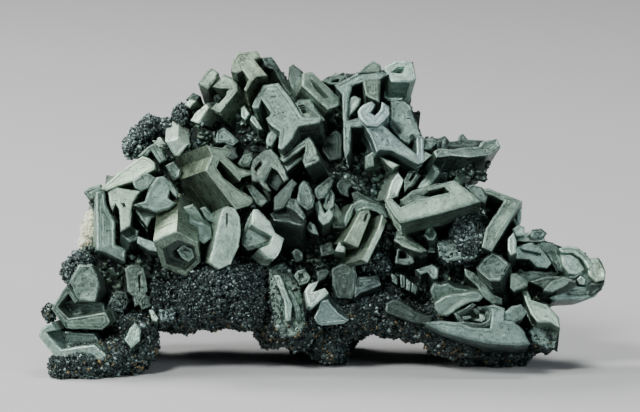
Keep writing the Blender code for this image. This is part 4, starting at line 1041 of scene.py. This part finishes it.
point = modelOf(bpy.ops.mesh.primitive_cone_add, (1, .75, 1), vertices=4, radius1=.5, depth=.9)
block = modelOf(bpy.ops.mesh.primitive_cube_add, (1, .8, .65), size=.72)
chip = modelOf(bpy.ops.mesh.primitive_cube_add, (1, .8, 1.3), bevel=.07, size=1)
ground = front + back + core + druse
cover = surfaceTree(ground)
grains = scatterGrains(cover, (point, block))
rhombs = scatterRhombs(surfaceTree(ground + calcite), block)
fillers = scatterFillers(cover, chip)
for model in (point, block, chip):
    bpy.data.objects.remove(model)


# Materials: a look holds one material and adds the nodes to it.
class Look:
    def __init__(self, name):
        self.material = bpy.data.materials.new(name)
        self.material.use_nodes = True
        self.nodes, self.links = self.material.node_tree.nodes, self.material.node_tree.links
        self.shader = self.nodes["Principled BSDF"]
        self.where = self.nodes.new("ShaderNodeTexCoord").outputs["Object"]

    def add(self, kind, **settings):
        node = self.nodes.new(kind)
        for key, value in settings.items():
            setattr(node, key, value)
        return node

    def feed(self, socket, value):
        if isinstance(value, (int, float)):
            socket.default_value = value
        elif isinstance(value, tuple):
            socket.default_value = (*value, 1)
        else:
            self.links.new(value, socket)

    def attributes(self, *names):
        return [self.add("ShaderNodeAttribute", attribute_name=name).outputs["Fac"] for name in names]

    def calculated(self, operation, first, second):
        node = self.add("ShaderNodeMath", operation=operation)
        self.feed(node.inputs[0], first)
        self.feed(node.inputs[1], second)
        return node.outputs[0]

    def product(self, first, second):
        return self.calculated("MULTIPLY", first, second)

    def total(self, terms, shares, plus=0):
        reached = None
        for term, share in zip(terms, shares):
            term = self.product(term, share)
            reached = self.calculated("ADD", reached, term) if reached else term
        return self.calculated("ADD", reached, plus) if plus else reached

    def noiseOf(self, scale, detail=3, roughness=.6, along=None):
        node = self.add("ShaderNodeTexNoise", noise_dimensions="1D" if along else "3D")
        for name, value in (("Scale", scale), ("Detail", detail), ("Roughness", roughness)):
            node.inputs[name].default_value = value
        self.feed(node.inputs["W" if along else "Vector"], along or self.where)
        return node.outputs["Fac"]

    def ramp(self, source, *stops):
        node = self.add("ShaderNodeValToRGB")
        while len(node.color_ramp.elements) < len(stops):
            node.color_ramp.elements.new(.5)
        for element, (place, colour) in zip(node.color_ramp.elements, stops):
            element.position, element.color = place, (*colour, 1)
        self.feed(node.inputs["Fac"], source)
        return node.outputs["Color"]

    def between(self, source, low, high, toLow=0, toHigh=1):
        node = self.add("ShaderNodeMapRange", clamp=True)
        for name, value in (("Value", source), ("From Min", low), ("From Max", high),
                            ("To Min", toLow), ("To Max", toHigh)):
            self.feed(node.inputs[name], value)
        return node.outputs["Result"]

    def mixed(self, share, first, second):
        node = self.add("ShaderNodeMix", data_type="RGBA")
        for index, value in ((0, share), (6, first), (7, second)):
            self.feed(node.inputs[index], value)
        return node.outputs[2]

    def finished(self, style, colour, rough, height):
        bump = self.add("ShaderNodeBump")
        for name, value in (("Strength", style["bump"]), ("Distance", style["relief"]), ("Height", height)):
            self.feed(bump.inputs[name], value)
        roughness = self.between(rough, *style["roughness"])
        for name, value in (("Base Color", colour), ("Roughness", roughness), ("Metallic", style["metallic"]),
                            ("Normal", bump.outputs["Normal"])):
            self.feed(self.shader.inputs[name], value)
        return self.material


# Noise scales are to the metre, widths and relief in m. Ranges are low and high, and a roughness has
# the low and high of its noise first. Shares stand in the order of the terms they weigh.
acanthiteStyle = {
    "crevice": (.010, .015, .014), "dark": (.038, .056, .050), "light": (.270, .395, .338),
    "warm": (.32, .42, .30), "blue": (.25, .36, .365), "pale": (.62, .78, .68),
    "edge": (.44, .58, .52), "spark": (.70, .82, .77),
    "mottle": 380, "blotch": 1500, "grain": 5200,
    "line": .00032, "lineShares": (400, 2.5, 1.6), "lineReach": (.0006, .0022, 1, .25),
    "levelShares": (1, 1.2, 1.5, 1.1, 1.3), "level": -1.9, "paleFrom": (.95, 1.6),
    "edgeReach": (0, .0003, 1, 0), "edgePatches": (.42, .58), "edgeShare": .75,
    "cracks": (-.14, -.19), "crackPatches": (.54, .60), "pits": (.36, .31), "sparks": (.66, .71),
    "heightShares": (2, 1, .3, .7), "relief": .00012, "bump": .8,
    "metallic": .86, "roughness": (.35, .65, .26, .48),
}


def acanthiteMetal():
    style = acanthiteStyle
    look = Look("acanthiteMetal")
    growth, tone, warmth, seed = look.attributes("growth", "tone", "warmth", "seed")
    mottle = look.noiseOf(style["mottle"], detail=4)
    blotch = look.noiseOf(style["blotch"], detail=5, roughness=.7)
    grain = look.noiseOf(style["grain"], detail=4, roughness=.75)

    # growth lines follow the rim of each face, waver a little and fade towards its middle
    phase = look.total((growth, seed, mottle, blotch), (1 / style["line"], *style["lineShares"]))
    lines = look.calculated("SUBTRACT", look.noiseOf(1, along=phase), .5)
    lines = look.product(lines, look.between(growth, *style["lineReach"]))

    level = look.total((tone, mottle, blotch, grain, lines), style["levelShares"], style["level"])
    tint = look.ramp(warmth, (0, style["blue"]), (.5, style["light"]), (1, style["warm"]))
    colour = look.mixed(level, style["dark"], tint)
    # The highest tones, which the painted light lists and the painted highlight on walls reach, turn pale: a
    # painted highlight.
    colour = look.mixed(look.between(level, *style["paleFrom"]), colour, style["pale"])
    # Rims are lighter in patches: rubbed wear and a painted highlight along the edges.
    atEdge = look.product(look.between(growth, *style["edgeReach"]),
                          look.between(blotch, *style["edgePatches"]))
    colour = look.mixed(look.product(atEdge, style["edgeShare"]), colour, style["edge"])
    # Near-black cracks and pits, and pale specks that are painted glints.
    crack = look.product(look.between(lines, *style["cracks"]), look.between(blotch, *style["crackPatches"]))
    for share, other in ((crack, "crevice"), (look.between(grain, *style["pits"]), "crevice"),
                         (look.between(grain, *style["sparks"]), "spark")):
        colour = look.mixed(share, colour, style[other])
    height = look.total((mottle, blotch, grain, lines), style["heightShares"])
    return look.finished(style, colour, blotch, height)


druseStyle = {
    "ramp": ((0, (.010, .015, .015)), (.45, (.044, .066, .065)), (.8, (.11, .155, .15)), (1, (.32, .42, .41))),
    "gold": (.20, .15, .07), "goldShare": (.88, .96), "goldHeight": (.016, .006),       # near the foot
    "patches": 300, "grain": 6500, "relief": .00006, "bump": .6,
    "metallic": .7, "roughness": (.3, .7, .22, .5),
}


def druseMetal():
    style = druseStyle
    look = Look("druseMetal")
    tone, warmth = look.attributes("tone", "warmth")
    split = look.add("ShaderNodeSeparateXYZ")
    look.feed(split.inputs[0], look.where)
    gold = look.product(look.between(warmth, *style["goldShare"]),
                        look.between(split.outputs["Z"], *style["goldHeight"]))
    colour = look.mixed(gold, look.ramp(tone, *style["ramp"]), style["gold"])
    grain = look.noiseOf(style["grain"], roughness=.7)
    return look.finished(style, colour, look.noiseOf(style["patches"]), grain)


# The core is the same acanthite as the crystals; its near-black colour is painted shade for the deep gaps
# between them.
coreLookStyle = {
    "ramp": ((.35, (.006, .009, .008)), (.7, (.026, .040, .036))),
    "grain": 1400, "relief": .0003, "bump": .9, "metallic": .6, "roughness": (.3, .7, .4, .7),
}


def coreDark():
    style = coreLookStyle
    look = Look("coreDark")
    grain = look.noiseOf(style["grain"], detail=5, roughness=.75)
    return look.finished(style, look.ramp(grain, *style["ramp"]), grain, grain)


calciteStyle = {
    "ramp": ((.2, (.42, .42, .28)), (.45, (.76, .78, .60)), (.75, (.92, .94, .80))),
    "levelShares": (1.2, .5), "level": -.35,
    "patches": 900, "grain": 4000, "relief": .00015, "bump": .7, "metallic": 0, "roughness": (.3, .7, .3, .6),
}


def calciteCream():
    style = calciteStyle
    look = Look("calciteCream")
    grain = look.noiseOf(style["grain"], detail=4)
    terms = look.noiseOf(style["patches"]), *look.attributes("tone")
    level = look.total(terms, style["levelShares"], style["level"])
    return look.finished(style, look.ramp(level, *style["ramp"]), grain, grain)


metalLook, druseLook, coreLook, calciteLook = acanthiteMetal(), druseMetal(), coreDark(), calciteCream()


def finishPiece(made, look, smoothAngle=28):
    made.data.materials.clear()
    made.data.materials.append(look)
    selectOnly(made)
    if smoothAngle:
        bpy.ops.object.shade_smooth_by_angle(angle=math.radians(smoothAngle))
    return made


half = len(front) // 2
pieces = [
    finishPiece(joined("crystalsLeft", front[:half]), metalLook),
    finishPiece(joined("crystalsRight", front[half:]), metalLook),
    finishPiece(joined("crystalsBack", back), metalLook),
    finishPiece(joined("coreRock", core), coreLook, 0),
    finishPiece(joined("druseBed", druse), druseLook, 50),
    finishPiece(fillers, metalLook, 0),
] + [finishPiece(some, druseLook, 0) for some in grains]
calcitePieces = [
    finishPiece(joined("calciteLumps", calcite), calciteLook, 40),
    finishPiece(rhombs, calciteLook, 0),
]
for piece in pieces:
    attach(piece, "root")
    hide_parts("acanthite_cluster")
for piece in calcitePieces:
    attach(piece, "root")
    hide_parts("calcite_patch")

# Floor, lights and camera.
stage = {
    "floorSize": 3.0, "floorColour": (.50, .51, .52), "floorRoughness": .9,
    "tooth": 900, "toothShade": .97,    # to the metre
    "world": (.60, .66, .76), "worldStrength": .05,
    "lights": (                         # name, place, size in m, watts, colour
        ("key", (-.36, -.60, .64), .26, 8.5, (1, 1, .96)),
        ("left", (-.88, -.32, .30), .34, 5.0, (1, 1, .97)),
        ("right", (.72, -.60, .28), .34, 3.4, (.90, .96, 1)),
        ("crest", (-.45, .40, .62), .36, 7.0, (1, 1, .95)),
        ("top", (.15, .10, .95), .36, 3.5, (1, 1, .96)),
    ),
    "cameraAway": 2.0, "frameWidth": .128, "frameMiddle": (320, 206), "clipStart": .01,     # m
    "sensor": 36,                       # mm
}
bpy.ops.mesh.primitive_plane_add(size=stage["floorSize"])
floor = bpy.context.object
floor.name = "paleFloor"
paper = Look("palePaper")
shaded = tuple(value * stage["toothShade"] for value in stage["floorColour"])
colour = paper.mixed(paper.noiseOf(stage["tooth"]), stage["floorColour"], shaded)
paper.feed(paper.shader.inputs["Base Color"], colour)
paper.feed(paper.shader.inputs["Roughness"], stage["floorRoughness"])
floor.data.materials.append(paper.material)

world = bpy.data.worlds.new("studio")
bpy.context.scene.world = world
world.use_nodes = True
backdrop = world.node_tree.nodes["Background"].inputs
backdrop["Color"].default_value = (*stage["world"], 1)
backdrop["Strength"].default_value = stage["worldStrength"]

aim = gridPoint(*stage["frameMiddle"], 0)
for name, spot, size, watts, colour in stage["lights"]:
    lamp = bpy.data.lights.new(name, "AREA")
    lamp.shape, lamp.size, lamp.energy, lamp.color = "DISK", size, watts, colour
    shining = linked(name, lamp)
    shining.location = spot
    shining.rotation_euler = (aim - Vector(spot)).to_track_quat("-Z", "Y").to_euler()

camera = bpy.data.cameras.new("camera")
camera.sensor_width = stage["sensor"]
camera.lens = stage["sensor"] * stage["cameraAway"] / stage["frameWidth"]
camera.clip_start = stage["clipStart"]
viewer = linked("camera", camera)
viewer.location = aim - viewVector(0, 0, 1) * stage["cameraAway"]
viewer.rotation_euler = (math.pi / 2 - layout["leanBack"], 0, 0)
bpy.context.scene.camera = viewer

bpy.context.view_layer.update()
print("pieces", len(pieces) + len(calcitePieces), "triangles",
      sum(len(trianglesOf(piece)[1]) for piece in pieces + calcitePieces), flush=True)
